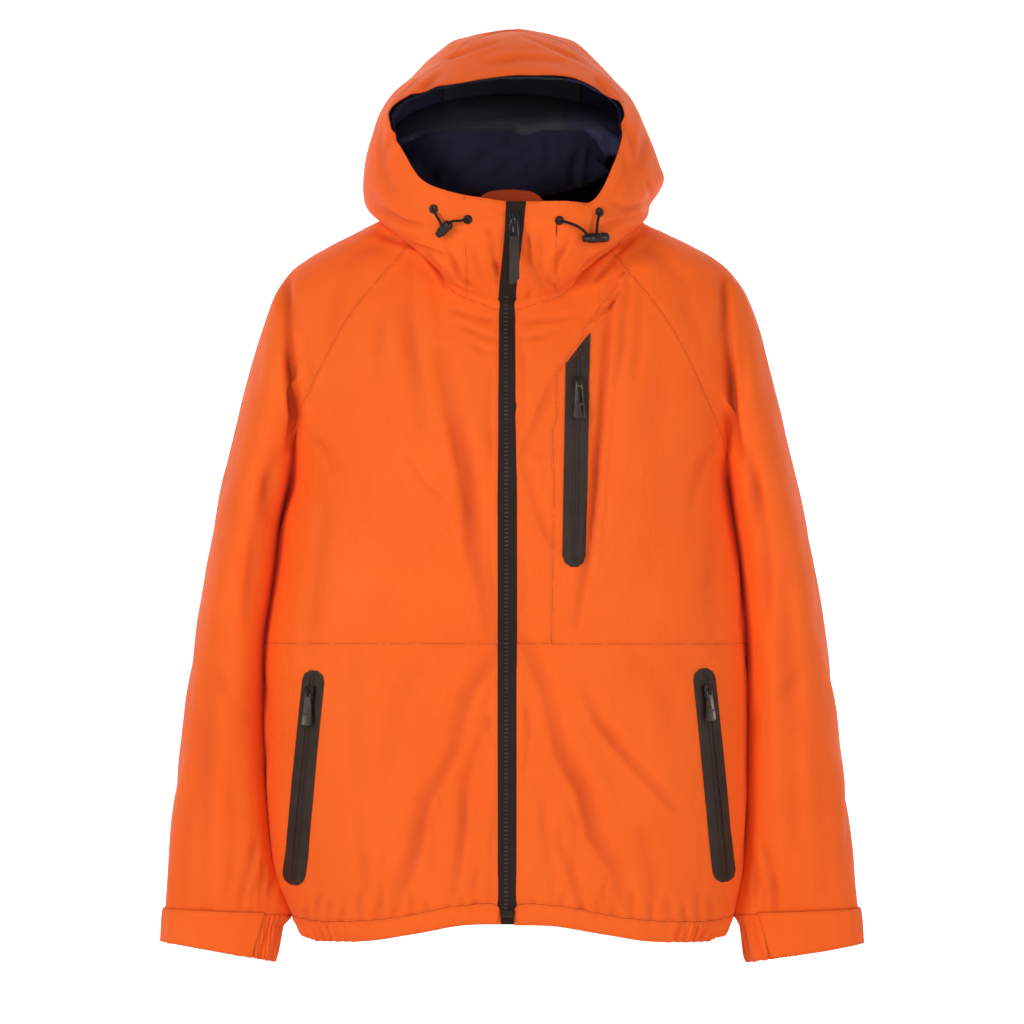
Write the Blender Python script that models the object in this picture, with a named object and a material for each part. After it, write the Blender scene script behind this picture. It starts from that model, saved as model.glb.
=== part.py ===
"""A hooded nylon jacket, filled out as it hangs on a wearer, hollow inside.

Lengths here are millimetres in the jacket's own frame: +X towards the wearer's left,
+Y towards the wearer's back, +Z up.  The origin is the point between the shoulders, level
with the highest shoulder point, where the wearer carries the jacket.

The cloth is one surface of rings and rows, worked out from the short tables below.  It is cut
into panels along the seams, each panel is drawn back from its seams and given its wall inwards.
Hems, cuffs, tabs, pockets, zips and cords are then laid on that surface.
"""

import math
from collections import namedtuple

import bmesh
import bpy
from mathutils import Vector
from mathutils.bvhtree import BVHTree

MM = 0.001

# Walls and gaps
CLOTH = 1.2
SEAM_DRAW = 0.15
SEAT = 0.35
BAND = 1.1

# Faces along the garment
FRONT_COLUMNS = 10
CAP_COLUMNS = 7
BACK_COLUMNS = 8
YOKE_ROWS = 9
CHEST_ROWS = 5
SKIRT_ROWS = 9
SLEEVE_ROWS = 14
HOOD_ROWS = 11

# Heights of the main seams
UNDERARM = -262.0
CHEST_SEAM = -421.0
GROOVE_TOP = -60.0
GROOVE_GROWTH = 1.8
ROUNDNESS = 2.3

# The main zip's strip
ZIP_HALF = 7.0

Outline = namedtuple("Outline", "z left right")
Depth = namedtuple("Depth", "z front back")
Seam = namedtuple("Seam", "x z")
Sleeve = namedtuple("Sleeve", "z inner depth centre_y reach tilt")
HoodLine = namedtuple("HoodLine", "column rim front wide rear nape")
Fold = namedtuple("Fold", "x0 z0 x1 z1 width depth")
Lay = namedtuple("Lay", "x z lift")

# Outer edge of the shoulders and arms, as half widths
ARM_OUTLINE = (
    Outline(18, 84, 84),
    Outline(8, 116, 116),
    Outline(3, 128, 127),
    Outline(-8, 150, 146),
    Outline(-16, 165, 163),
    Outline(-24, 180, 180),
    Outline(-40, 209, 209),
    Outline(-48, 219, 218),
    Outline(-78, 238, 238),
    Outline(-108, 249, 249),
    Outline(-138, 258, 257),
    Outline(-198, 274, 272),
    Outline(-258, 288, 286),
    Outline(-318, 300, 299),
    Outline(-378, 311, 310),
    Outline(-438, 320, 319),
    Outline(-498, 328, 327),
    Outline(-558, 335, 334),
    Outline(-618, 341, 340),
    Outline(-678, 345, 346),
    Outline(-700, 347, 349),
    Outline(-740, 349, 351),
)
# Side of the body: the groove between chest and arm down to the underarm, then the side seam
SIDE_OUTLINE = (
    Outline(18, 80, 80),
    Outline(-48, 205, 204),
    Outline(-63, 220, 216),
    Outline(-119, 216, 215),
    Outline(-204, 217, 216),
    Outline(-262, 223, 219),
    Outline(-298, 231, 223),
    Outline(-345, 236, 230),
    Outline(-391, 243, 234),
    Outline(-421, 247, 236),
    Outline(-498, 248, 237),
    Outline(-581, 244, 236),
    Outline(-628, 240, 235),
    Outline(-661, 234, 231),
    Outline(-684, 224, 226),
    Outline(-701, 215, 220),
    Outline(-718, 206, 211),
)
DEPTHS = (
    Depth(18, 28, 58),
    Depth(3, 40, 68),
    Depth(-8, 46, 72),
    Depth(-22, 56, 77),
    Depth(-48, 68, 85),
    Depth(-88, 86, 95),
    Depth(-140, 105, 105),
    Depth(-200, 119, 112),
    Depth(-262, 126, 115),
    Depth(-340, 125, 112),
    Depth(-421, 120, 107),
    Depth(-520, 116, 104),
    Depth(-620, 114, 104),
    Depth(-684, 109, 100),
    Depth(-718, 104, 97),
)
RAGLAN_FRONT_LEFT = (
    Seam(100, -22),
    Seam(167, -101),
    Seam(188, -142),
    Seam(205, -180),
    Seam(214, -204),
    Seam(219, -236),
    Seam(223, UNDERARM),
)
RAGLAN_FRONT_RIGHT = (
    Seam(99, -28),
    Seam(118, -50),
    Seam(156, -98),
    Seam(186, -154),
    Seam(206, -204),
    Seam(215, -236),
    Seam(219, UNDERARM),
)
RAGLAN_BACK = (
    Seam(95, 4),
    Seam(150, -75),
    Seam(185, -140),
    Seam(206, -195),
    Seam(216, -236),
    Seam(221, UNDERARM),
)
# Share of the way out to the raglan against share of the way up to it, along the neck seam
NECK_CURVE = ((0, 0), (0.24, 0.11), (0.47, 0.22), (0.62, 0.45), (0.79, 0.82), (1, 1))
NECK_FRONT = -88.5
NECK_BACK = 8.0

ZIP_LINE = (Seam(4.0, 25), Seam(3.5, 5), Seam(1.0, -20), Seam(-2.5, -48), Seam(-3.5, -80), Seam(-3.5, -720))

HEM_SEAM_FRONT = ((0, -680), (40, -681), (90, -690), (131, -696), (180, -698), (206, -697), (224, -691))
HEM_SEAM_BACK = ((0, -684), (120, -688), (200, -691), (224, -691))
HEM_EDGE_FRONT = ((0, -700), (36, -700), (67, -706), (112, -713), (141, -717.5), (195, -718), (210, -713))
HEM_EDGE_BACK = ((0, -702), (120, -708), (200, -712), (210, -713))

SLEEVES = (
    Sleeve(-262, 0, 75, 0, 0, 0),
    Sleeve(-330, 0, 71, 3, 12, 0),
    Sleeve(-440, 0, 63, 5, 20, 0),
    Sleeve(-540, 0, 54, 4, 18, 0),
    Sleeve(-620, 0, 45, 1, 8, 0.01),
    Sleeve(-660, 231, 38, -2, 2, 0.03),
    Sleeve(-690, 225, 31, -4, 0, 0.04),
    Sleeve(-735, 236, 25, -4, 0, 0.20),
)
SLEEVE_CLEAR = 1.6
SLEEVE_SEAM_DRIFT = ((-262, 0), (-600, 0), (-690, 16), (-735, 20))
CUFF_SEAM = -690.0
CUFF_EDGE = -728.0

# Control lines of the hood, from the zip's left edge round the hood to the centre back.
# Column counts the faces round the neck seam; each triple is x, y, z.
HOOD_LEFT = (
    HoodLine(0, (0, -108, 19), (0, -113, -4), (0, -111, -28), (0, -104, -50), (0, -95, -70)),
    HoodLine(5, (50, -110, 26), (53, -113, 3), (55, -108, -20), (57, -100, -41), (57, -90, -58)),
    HoodLine(10, (88, -99, 40), (104, -92, 22), (115, -78, 4), (116, -66, -8), (110, -56, -16)),
    HoodLine(14, (106, -87, 66), (127, -66, 48), (141, -40, 30), (142, -28, 13), (132, -24, 1)),
    HoodLine(17, (119, -78, 92), (137, -45, 73), (148, -8, 45), (148, 6, 26), (141, 3, 11)),
    HoodLine(20, (122, -71, 109), (131, -36, 107), (139, 18, 82), (145, 38, 50), (134, 34, 20)),
    HoodLine(24, (88, -67, 130), (96, -33, 145), (107, 30, 135), (119, 78, 90), (112, 72, 36)),
    HoodLine(28, (46, -67, 138), (50, -39, 157), (61, 16, 176), (74, 96, 128), (66, 108, 56)),
    HoodLine(32, (-4, -68, 144), (-2, -38, 166), (-3, 16, 190), (0, 108, 146), (0, 126, 64)),
)
HOOD_RIGHT = (
    HoodLine(0, (0, -108, 19), (0, -113, -4), (0, -111, -28), (0, -104, -50), (0, -95, -70)),
    HoodLine(5, (50, -110, 19), (53, -113, 1), (55, -108, -20), (57, -100, -41), (57, -90, -58)),
    HoodLine(10, (79, -101, 18), (99, -93, 12), (113, -78, 0), (115, -66, -11), (109, -56, -19)),
    HoodLine(14, (101, -86, 54), (126, -66, 46), (143, -40, 31), (143, -28, 13), (132, -24, 0)),
    HoodLine(17, (111, -78, 84), (136, -45, 72), (151, -8, 44), (150, 6, 26), (141, 3, 11)),
    HoodLine(20, (112, -71, 112), (126, -36, 108), (138, 18, 82), (145, 38, 50), (134, 34, 20)),
    HoodLine(24, (85, -67, 132), (98, -33, 144), (110, 30, 133), (119, 78, 90), (112, 72, 36)),
    HoodLine(28, (52, -67, 144), (56, -39, 159), (64, 16, 176), (74, 96, 128), (66, 108, 56)),
)
# The crown gusset's two edges run from the rim's upper corners to the apex
GUSSET_LEFT = ((-122, -71, 109), (-57, -20, 164), (0, 14, 189))
GUSSET_RIGHT = ((112, -71, 112), (66, -22, 160), (0, 14, 189))
GUSSET_FIRST, GUSSET_LAST = 18, 46
COLLAR_SEAM_LEFT, COLLAR_SEAM_RIGHT = -45.0, 46.0

# The chest inset's edges in front view: up beside the pocket, then slanting to the raglan seam
INSET_FOOT = Seam(39, CHEST_SEAM)
INSET_CORNER = Seam(45, -153)
INSET_TOP = Seam(111, -53)

# Largest soft folds: a line in front view, how wide, and how deep (plus is a ridge)
FRONT_FOLDS = (
    Fold(92, -85, 96, -330, 13, -5.0),
    Fold(76, -120, 72, -300, 12, 2.0),
    Fold(-31, -280, -112, -540, 20, -3.0),
    Fold(-52, -430, -46, -670, 22, -4.0),
    Fold(-150, -250, -110, -420, 22, -3.0),
    Fold(10, -430, 90, -590, 18, -3.0),
    Fold(90, -600, 132, -690, 16, -3.0),
    Fold(160, -270, 120, -400, 24, -3.0),
    Fold(-170, -470, -150, -640, 26, 3.0),
    Fold(165, -470, 150, -640, 26, 3.0),
)
BACK_FOLDS = (
    Fold(-120, -120, -60, -330, 24, -4.0),
    Fold(125, -120, 70, -340, 24, -4.0),
    Fold(-40, -380, -80, -650, 22, -4.0),
    Fold(50, -400, 75, -660, 22, -4.0),
    Fold(-150, -300, -140, -600, 24, 3.0),
    Fold(150, -300, 135, -610, 24, 3.0),
)
SLEEVE_FOLDS = (
    Fold(0, -300, 0, -430, 20, -4.0),
    Fold(-14, -420, 20, -470, 14, -4.0),
    Fold(16, -500, -16, -560, 14, -4.0),
    Fold(0, -600, 0, -670, 16, 3.0),
)

GATHER_PITCH = 8.4
GATHER_RISE = 1.3
GATHER_FRONT_START = 158.0
GATHER_BACK_START = 130.0

ORANGE = ((0.95, 0.14, 0.02), 0.55, 0.0)
ORANGE_DEEP = ((0.80, 0.10, 0.015), 0.55, 0.0)
NAVY = ((0.012, 0.012, 0.035), 0.85, 0.0)
BLACK_CLOTH = ((0.012, 0.012, 0.012), 0.85, 0.0)
RUBBER = ((0.035, 0.03, 0.03), 0.6, 0.0)
TAPE = ((0.02, 0.02, 0.02), 0.7, 0.0)
GUNMETAL = ((0.06, 0.055, 0.05), 0.35, 0.9)
PLASTIC = ((0.02, 0.02, 0.02), 0.4, 0.0)


# ---------------------------------------------------------------- curves

def curve(points):
    """Return a smooth function through (key, value) points that never overshoots them."""
    points = sorted(points)
    keys = [p[0] for p in points]
    values = [p[1] for p in points]
    steps = [b - a for a, b in zip(keys, keys[1:])]
    rises = [(b - a) / step for a, b, step in zip(values, values[1:], steps)]
    slopes = [rises[0]]
    for i in range(1, len(rises)):
        before, after = rises[i - 1], rises[i]
        if before * after <= 0:
            slopes.append(0.0)
        else:
            w1 = 2 * steps[i] + steps[i - 1]
            w2 = steps[i] + 2 * steps[i - 1]
            slopes.append((w1 + w2) / (w1 / before + w2 / after))
    slopes.append(rises[-1])

    def value_at(key):
        key = min(max(key, keys[0]), keys[-1])
        i = 0
        while i < len(steps) - 1 and key > keys[i + 1]:
            i += 1
        t = (key - keys[i]) / steps[i]
        h = steps[i]
        return (
            values[i] * (1 + 2 * t) * (1 - t) ** 2
            + slopes[i] * h * t * (1 - t) ** 2
            + values[i + 1] * t * t * (3 - 2 * t)
            + slopes[i + 1] * h * t * t * (t - 1)
        )

    return value_at


def column(table, key, value):
    return curve([(getattr(row, key), getattr(row, value)) for row in table])


def mix(a, b, share):
    return a + (b - a) * share


def along(points, count):
    """Points at equal steps along a polyline, count steps in all."""
    lengths = [0.0]
    for a, b in zip(points, points[1:]):
        lengths.append(lengths[-1] + (b - a).length)
    picked = [points[0]]
    i = 0
    for k in range(1, count):
        target = lengths[-1] * k / count
        while lengths[i + 1] < target:
            i += 1
        share = (target - lengths[i]) / (lengths[i + 1] - lengths[i])
        picked.append(points[i].lerp(points[i + 1], share))
    return picked + [points[-1]]


def smooth_path(points, samples=60):
    """A smooth curve of many points through a few."""
    keys = [0.0]
    for a, b in zip(points, points[1:]):
        keys.append(keys[-1] + max((b - a).length, 0.01))
    axes = [curve([(key, point[axis]) for key, point in zip(keys, points)]) for axis in range(3)]
    return [
        Vector([f(keys[-1] * i / samples) for f in axes])
        for i in range(samples + 1)
    ]


arm_edge = {side: column(ARM_OUTLINE, "z", side) for side in ("left", "right")}
body_side = {side: column(SIDE_OUTLINE, "z", side) for side in ("left", "right")}
depth_front = column(DEPTHS, "z", "front")
depth_back = column(DEPTHS, "z", "back")
zip_x = column(ZIP_LINE, "z", "x")
neck_curve = curve(NECK_CURVE)
hem_seam = {-1: curve(HEM_SEAM_FRONT), 1: curve(HEM_SEAM_BACK)}
hem_edge = {-1: curve(HEM_EDGE_FRONT), 1: curve(HEM_EDGE_BACK)}
SIDES = {"left": -1, "right": 1}


def side_of(x):
    return "left" if x < 0 else "right"


def fold_height(folds, x, z):
    """How far the folds lift the cloth at a place in front view."""
    total = 0.0
    for fold in folds:
        dx, dz = fold.x1 - fold.x0, fold.z1 - fold.z0
        length = math.hypot(dx, dz)
        t = ((x - fold.x0) * dx + (z - fold.z0) * dz) / length**2
        across = abs((x - fold.x0) * dz - (z - fold.z0) * dx) / length
        over = max(-t, t - 1, 0) * length
        middle = min(max(t, 0), 1)
        taper = 0.35 + 0.65 * math.sin(math.pi * middle)
        total += fold.depth * taper * math.exp(-(across / fold.width) ** 2 - (over / 30) ** 2)
    return total


# ---------------------------------------------------------------- the body's surface

def lobe(share):
    """Depth of a rounded section at a share of its half width."""
    return max(1 - min(abs(share), 1) ** ROUNDNESS, 0) ** (1 / ROUNDNESS)


def body_point(x, z, face):
    """A point on the front (face -1) or back (face 1) of the body, shoulders and sleeve caps."""
    side = side_of(x)
    outer = arm_edge[side](z)
    inner = body_side[side](z)
    depth = depth_front(z) if face < 0 else depth_back(z)
    reach = abs(x)
    growth = min(max((GROOVE_TOP - z) / (GROOVE_TOP - UNDERARM), 0), 1) ** GROOVE_GROWTH
    whole = depth * lobe(reach / outer)
    if reach <= inner:
        parted = depth * lobe(reach / inner)
        inside = 1 - (reach / inner) ** 4
    else:
        middle, half = (inner + outer) / 2, (outer - inner) / 2
        arm_depth = SLEEVES[0].depth
        parted = arm_depth * math.sqrt(max(1 - ((reach - middle) / half) ** 2, 0))
        inside = 0
    folds = FRONT_FOLDS if face < 0 else BACK_FOLDS
    relief = fold_height(folds, x, z) * inside
    return Vector((x, face * (mix(whole, parted, growth) + relief), z))


def seam_points(table, side, count):
    """Equal steps down a seam drawn in front view."""
    sign = SIDES[side]
    path = smooth_path([Vector((sign * row.x, 0, row.z)) for row in table])
    return along(path, count)


def outline_points(side, count):
    sign = SIDES[side]
    top, samples = ARM_OUTLINE[2].z, 120
    path = []
    for i in range(samples + 1):
        z = mix(top, UNDERARM, i / samples)
        path.append(Vector((sign * arm_edge[side](z), 0, z)))
    return along(path, count)


def yoke_rows(side):
    """Rows of points from the zip over shoulder and sleeve cap to the centre back."""
    sign = SIDES[side]
    raglan = RAGLAN_FRONT_LEFT if side == "left" else RAGLAN_FRONT_RIGHT
    front_seam = seam_points(raglan, side, YOKE_ROWS)
    back_table = RAGLAN_BACK[:-1] + (Seam(raglan[-1].x, UNDERARM),)
    back_seam = seam_points(back_table, side, YOKE_ROWS)
    edge = outline_points(side, YOKE_ROWS)
    samples = 48
    rows = []
    for k in range(YOKE_ROWS + 1):
        down = k / YOKE_ROWS
        zip_z = mix(NECK_FRONT, UNDERARM, down)
        back_z = mix(NECK_BACK, UNDERARM, down)
        start = zip_x(zip_z) + sign * ZIP_HALF
        front, cap_front, cap_back, back = [], [], [], []
        for i in range(samples + 1):
            t = i / samples
            bend = math.sin(t * math.pi / 2)
            shape = mix(neck_curve(t), t**1.6, min(down * 2, 1))
            front.append(body_point(mix(start, front_seam[k].x, t), mix(zip_z, front_seam[k].z, shape), -1))
            out = front_seam[k].lerp(edge[k], bend)
            cap_front.append(body_point(out.x, out.z, -1))
            over = edge[k].lerp(back_seam[k], 1 - math.cos(t * math.pi / 2))
            cap_back.append(body_point(over.x, over.z, 1))
            home = (back_seam[k].x * (1 - t), mix(back_seam[k].z, back_z, math.sin(t * math.pi / 2) ** 1.5))
            back.append(body_point(home[0], home[1], 1))
        rows.append(
            along(front, FRONT_COLUMNS)
            + along(cap_front, CAP_COLUMNS)[1:]
            + along(cap_back, CAP_COLUMNS)[1:]
            + along(back, BACK_COLUMNS)[1:]
        )
    return rows


def skirt_ring(side, height_at):
    """Zip edge to side seam to centre back, at a height that may change across the body."""
    sign = SIDES[side]
    samples = 48
    front, back = [], []
    for i in range(samples + 1):
        turn = i / samples * math.pi / 2
        for face, points in ((-1, front), (1, back)):
            reach = math.sin(turn)
            z = height_at(face, 220 * reach)
            wide = body_side[side](z)
            z = height_at(face, wide * reach)
            wide = body_side[side](z)
            edge = zip_x(z) + sign * ZIP_HALF if face < 0 else 0.0
            points.append(body_point(mix(edge, sign * wide, reach), z, face))
    return along(front, FRONT_COLUMNS) + along(back[::-1], BACK_COLUMNS)[1:]


def skirt_heights():
    """The height rule of each row from the underarm down to the hem's seam."""
    rules = []
    for k in range(1, CHEST_ROWS + 1):
        level = mix(UNDERARM, CHEST_SEAM, k / CHEST_ROWS)
        rules.append(lambda face, x, level=level: level)
    for k in range(1, SKIRT_ROWS + 1):
        rules.append(lambda face, x, share=k / SKIRT_ROWS: mix(CHEST_SEAM, hem_seam[face](x), share))
    return rules


# ---------------------------------------------------------------- sleeves

sleeve_value = {name: column(SLEEVES, "z", name) for name in ("inner", "depth", "centre_y", "reach", "tilt")}
seam_drift = curve(SLEEVE_SEAM_DRIFT)


def sleeve_ring(side, level):
    """A closed ring round the arm, from the underarm seam to the front, out, back and home."""
    sign = SIDES[side]
    settle = min((UNDERARM - level) / 40, 1)
    clear = SLEEVE_CLEAR * settle
    outer = arm_edge[side](level)
    inner = max(body_side[side](level) + clear, sleeve_value["inner"](level) if level < -640 else 0)
    half_depth = sleeve_value["depth"](level)
    middle_y = sleeve_value["centre_y"](level)
    reach = sleeve_value["reach"](level)
    tilt = sleeve_value["tilt"](level)
    body_back = depth_back(level)
    body_half = body_side[side](level)
    centre = (outer + inner) / 2

    def placed(out, y):
        bump = 0.0
        if level < UNDERARM - 1:
            bump = fold_height(SLEEVE_FOLDS, (y - middle_y) * (0.5 if y > 0 else 1), level)
        share = (out - centre) / (outer - centre)
        out += bump * max(share, 0) * 0.3
        y += math.copysign(1, y - middle_y) * bump * (1 - share**2) * settle
        return Vector((sign * out, y, level + tilt * (out - centre)))

    samples = 64
    front, back = [], []
    for i in range(samples + 1):
        turn = math.pi * i / samples
        out = centre - (outer - centre) * math.cos(turn)
        front.append(placed(out, middle_y - half_depth * math.sin(turn)))
        back_inner = inner - reach
        back_centre = (outer + back_inner) / 2
        out = back_centre - (outer - back_centre) * math.cos(turn)
        y = middle_y + half_depth * math.sin(turn)
        limit = inner
        if y > 0 and reach > 0:
            limit = body_half * lobe(min(y / body_back, 1)) + clear
            limit = mix(inner, limit, settle)
        back.append(placed(max(out, limit if reach > 0 else out), y))
    back.reverse()
    drift = seam_drift(level)
    if drift > 0:
        steps = along(front, 200)
        length = sum((b - a).length for a, b in zip(steps, steps[1:]))
        cut = min(int(drift / length * 200), 199)
        front = steps[cut:]
        back += steps[1 : cut + 1]
    return along(front, CAP_COLUMNS) + along(back, CAP_COLUMNS)[1:]


def sleeve_levels():
    return [mix(UNDERARM, CUFF_SEAM, k / SLEEVE_ROWS) for k in range(1, SLEEVE_ROWS + 1)]


# ---------------------------------------------------------------- hood

HALF_RING = FRONT_COLUMNS + 2 * CAP_COLUMNS + BACK_COLUMNS
FULL_RING = 2 * HALF_RING


def hood_control(line, sign):
    """A control line's points from rim to nape, in place."""
    placed = []
    for x, y, z in line[1:]:
        if line.column == 0:
            x = zip_x(z) + sign * ZIP_HALF
        elif line.column == HALF_RING:
            x = -x
        else:
            x = sign * x
        placed.append(Vector((x, y, z)))
    return placed


def hood_lines():
    """For every column round the hood, a smooth path from the neck seam's side to the rim."""
    controls = {}
    for line in HOOD_LEFT:
        controls[line.column] = hood_control(line, -1)
    for line in HOOD_RIGHT:
        controls[FULL_RING - line.column] = hood_control(line, 1)
    keys = sorted(controls)
    levels = len(HoodLine._fields) - 1
    rules = [
        [curve([(key, controls[key][level][axis]) for key in keys]) for axis in range(3)]
        for level in range(levels)
    ]

    def path(ring_column, neck_point):
        points = [Vector([axis(ring_column) for axis in rules[level]]) for level in range(levels)]
        return smooth_path([neck_point] + points[::-1])

    return path


# ---------------------------------------------------------------- the whole cloth

class Cloth:
    """One welded surface whose faces each carry the name of their panel."""

    def __init__(self):
        self.mesh = bmesh.new()
        self.label = self.mesh.faces.layers.int.new("panel")
        self.names = []
        self.points = {}

    def vertex(self, key, place=None):
        if key not in self.points:
            self.points[key] = self.mesh.verts.new(place)
        return self.points[key]

    def number(self, name):
        if name not in self.names:
            self.names.append(name)
        return self.names.index(name)

    def face(self, name, keys):
        corners = []
        for key in keys:
            vertex = self.vertex(key)
            if vertex not in corners:
                corners.append(vertex)
        face = self.mesh.faces.new(corners)
        face[self.label] = self.number(name)

    def panel(self, face):
        return self.names[face[self.label]]

    def cut(self, panel, point, normal, inside, new_name):
        """Cut a panel along a plane and rename what lies on the normal's side."""
        number = self.number(panel)
        chosen = [f for f in self.mesh.faces if f[self.label] == number and inside(f.calc_center_median())]
        around = set(chosen)
        for f in chosen:
            around.update(f.edges)
            around.update(f.verts)
        bmesh.ops.bisect_plane(
            self.mesh, geom=list(around), dist=0.4, plane_co=point, plane_no=normal
        )
        renamed = self.number(new_name)
        for f in self.mesh.faces:
            middle = f.calc_center_median()
            if f[self.label] == number and inside(middle) and (middle - point).dot(normal) > 0:
                f[self.label] = renamed


def ring_columns(side):
    """Ring numbers from the zip to the centre back on one side."""
    if side == "left":
        return list(range(HALF_RING + 1))
    return [FULL_RING - j for j in range(HALF_RING + 1)]


def yoke_key(side, row, j):
    """The key of a yoke point; the underarm joins a sleeve cap's two ends."""
    f, c = FRONT_COLUMNS, 2 * CAP_COLUMNS
    own = ring_columns(side)[j]
    if row == YOKE_ROWS:
        if j in (f, f + c):
            return ("underarm", side)
        if j == HALF_RING:
            return ("skirt", 0, "back")
        if j < f:
            return ("skirt", 0, side, j)
        if j > f + c:
            return ("skirt", 0, side, j - c)
        return ("sleeve", 0, side, j - f)
    return ("yoke", row, own)


def skirt_key(row, side, j):
    last = FRONT_COLUMNS + BACK_COLUMNS
    if row == 0 and j == FRONT_COLUMNS:
        return ("underarm", side)
    if j == last:
        return ("skirt", row, "back")
    return ("skirt", row, side, j)


def sleeve_key(row, side, j):
    if row == 0 and j in (0, 2 * CAP_COLUMNS):
        return ("underarm", side)
    return ("sleeve", row, side, j % (2 * CAP_COLUMNS))


def hood_key(row, j):
    return ("yoke", 0, j) if row == 0 else ("hood", row, j)


def add_quads(cloth, name, a, b, c, d):
    cloth.face(name, (a, b, c, d))


def build_body(cloth):
    f, c = FRONT_COLUMNS, 2 * CAP_COLUMNS
    for side in SIDES:
        rows = yoke_rows(side)
        for k, row in enumerate(rows):
            for j, point in enumerate(row):
                cloth.vertex(yoke_key(side, k, j), point)
        for k in range(YOKE_ROWS):
            for j in range(HALF_RING):
                if j < f:
                    name = "front_upper_" + side
                elif j < f + c:
                    name = "sleeve_" + side
                else:
                    name = "back"
                add_quads(
                    cloth, name, yoke_key(side, k, j), yoke_key(side, k, j + 1),
                    yoke_key(side, k + 1, j + 1), yoke_key(side, k + 1, j),
                )
        for k, rule in enumerate(skirt_heights(), 1):
            for j, point in enumerate(skirt_ring(side, rule)):
                cloth.vertex(skirt_key(k, side, j), point)
            for j in range(FRONT_COLUMNS + BACK_COLUMNS):
                upper = "front_upper_" if k <= CHEST_ROWS else "front_lower_"
                name = upper + side if j < FRONT_COLUMNS else "back"
                add_quads(
                    cloth, name, skirt_key(k - 1, side, j), skirt_key(k - 1, side, j + 1),
                    skirt_key(k, side, j + 1), skirt_key(k, side, j),
                )


def build_sleeves(cloth):
    for side in SIDES:
        for k, level in enumerate(sleeve_levels(), 1):
            for j, point in enumerate(sleeve_ring(side, level)[:-1]):
                cloth.vertex(sleeve_key(k, side, j), point)
            for j in range(2 * CAP_COLUMNS):
                add_quads(
                    cloth, "sleeve_" + side, sleeve_key(k - 1, side, j), sleeve_key(k - 1, side, j + 1),
                    sleeve_key(k, side, j + 1), sleeve_key(k, side, j),
                )


def build_hood(cloth):
    """Rows from the neck seam to the rim; above the first row every second column stays."""
    path = hood_lines()
    for j in range(0, FULL_RING + 1, 2):
        neck = cloth.vertex(hood_key(0, j)).co
        for k, point in enumerate(along(path(j, neck), HOOD_ROWS)):
            if k:
                cloth.vertex(hood_key(k, j), point)
    for j in range(0, FULL_RING, 2):
        name = "hood_left" if j < HALF_RING else "hood_right"
        first = (hood_key(0, j), hood_key(0, j + 1), hood_key(0, j + 2), hood_key(1, j + 2), hood_key(1, j))
        cloth.face(name, first)
        for k in range(1, HOOD_ROWS):
            above, below = hood_key(k, j), hood_key(k + 1, j)
            add_quads(cloth, name, above, hood_key(k, j + 2), hood_key(k + 1, j + 2), below)


def build_zip_strip(cloth):
    name = "main_zip_tape"
    left, right = [], []
    for k in range(HOOD_ROWS, 0, -1):
        left.append(hood_key(k, 0))
        right.append(hood_key(k, FULL_RING))
    for k in range(YOKE_ROWS):
        left.append(("yoke", k, 0))
        right.append(("yoke", k, FULL_RING))
    for k in range(CHEST_ROWS + SKIRT_ROWS + 1):
        left.append(skirt_key(k, "left", 0))
        right.append(skirt_key(k, "right", 0))
    for side, edge in (("left", left), ("right", right)):
        foot = ("zip foot", side)
        cloth.vertex(foot, skirt_ring(side, lambda face, x: hem_edge[face](x))[0])
        edge.append(foot)
    for i in range(len(left) - 1):
        add_quads(cloth, name, left[i], right[i], right[i + 1], left[i + 1])


def plane_through(points, towards):
    """A point and unit normal of the plane through three points, on the side of towards."""
    a, b, c = (Vector(p) for p in points)
    normal = (b - a).cross(c - b).normalized()
    if (Vector(towards) - a).dot(normal) < 0:
        normal = -normal
    return a, normal


def cut_panels(cloth):
    """Cut the seams that cross the rows: crown gusset, collar fronts and chest inset."""
    front = (0, -300, 100)
    for name, edge, sign in (("hood_left", GUSSET_LEFT, -1), ("hood_right", GUSSET_RIGHT, 1)):
        point, normal = plane_through(edge, front)
        cloth.cut(name, point, normal, lambda p: p.z > 104 and p.y < 60, "hood_gusset")
    for name, x, sign in (("hood_left", COLLAR_SEAM_LEFT, 1), ("hood_right", COLLAR_SEAM_RIGHT, -1)):
        collar = "collar_front_" + name[5:]
        cloth.cut(
            name, Vector((x, 0, 0)), Vector((sign, 0, 0)), lambda p: p.z < 60 and p.y < -60, collar
        )
    foot, corner, top = (Vector((s.x, 0, s.z)) for s in (INSET_FOOT, INSET_CORNER, INSET_TOP))
    upright = (corner - foot).cross(Vector((0, 1, 0))).normalized()
    slant = (top - corner).cross(Vector((0, 1, 0))).normalized()
    name = "front_upper_right"
    if upright.x < 0:
        upright.negate()
    if slant.x < 0:
        slant.negate()
    cloth.cut(name, corner, slant, lambda p: p.z > corner.z - 45 and p.x > 20, "slant_side")
    cloth.cut("slant_side", corner, upright, lambda p: p.z < corner.z, "front_inset")
    cloth.cut(name, corner, upright, lambda p: p.z < corner.z, "front_inset")
    keep, inset, slanted = (cloth.number(n) for n in (name, "front_inset", "slant_side"))
    for face in cloth.mesh.faces:
        middle = face.calc_center_median()
        if face[cloth.label] == slanted:
            inside = (middle - corner).dot(upright) > 0 or middle.z > corner.z
            face[cloth.label] = inset if inside else keep
        elif face[cloth.label] == inset and (middle - corner).dot(slant) < 0:
            face[cloth.label] = keep


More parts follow.
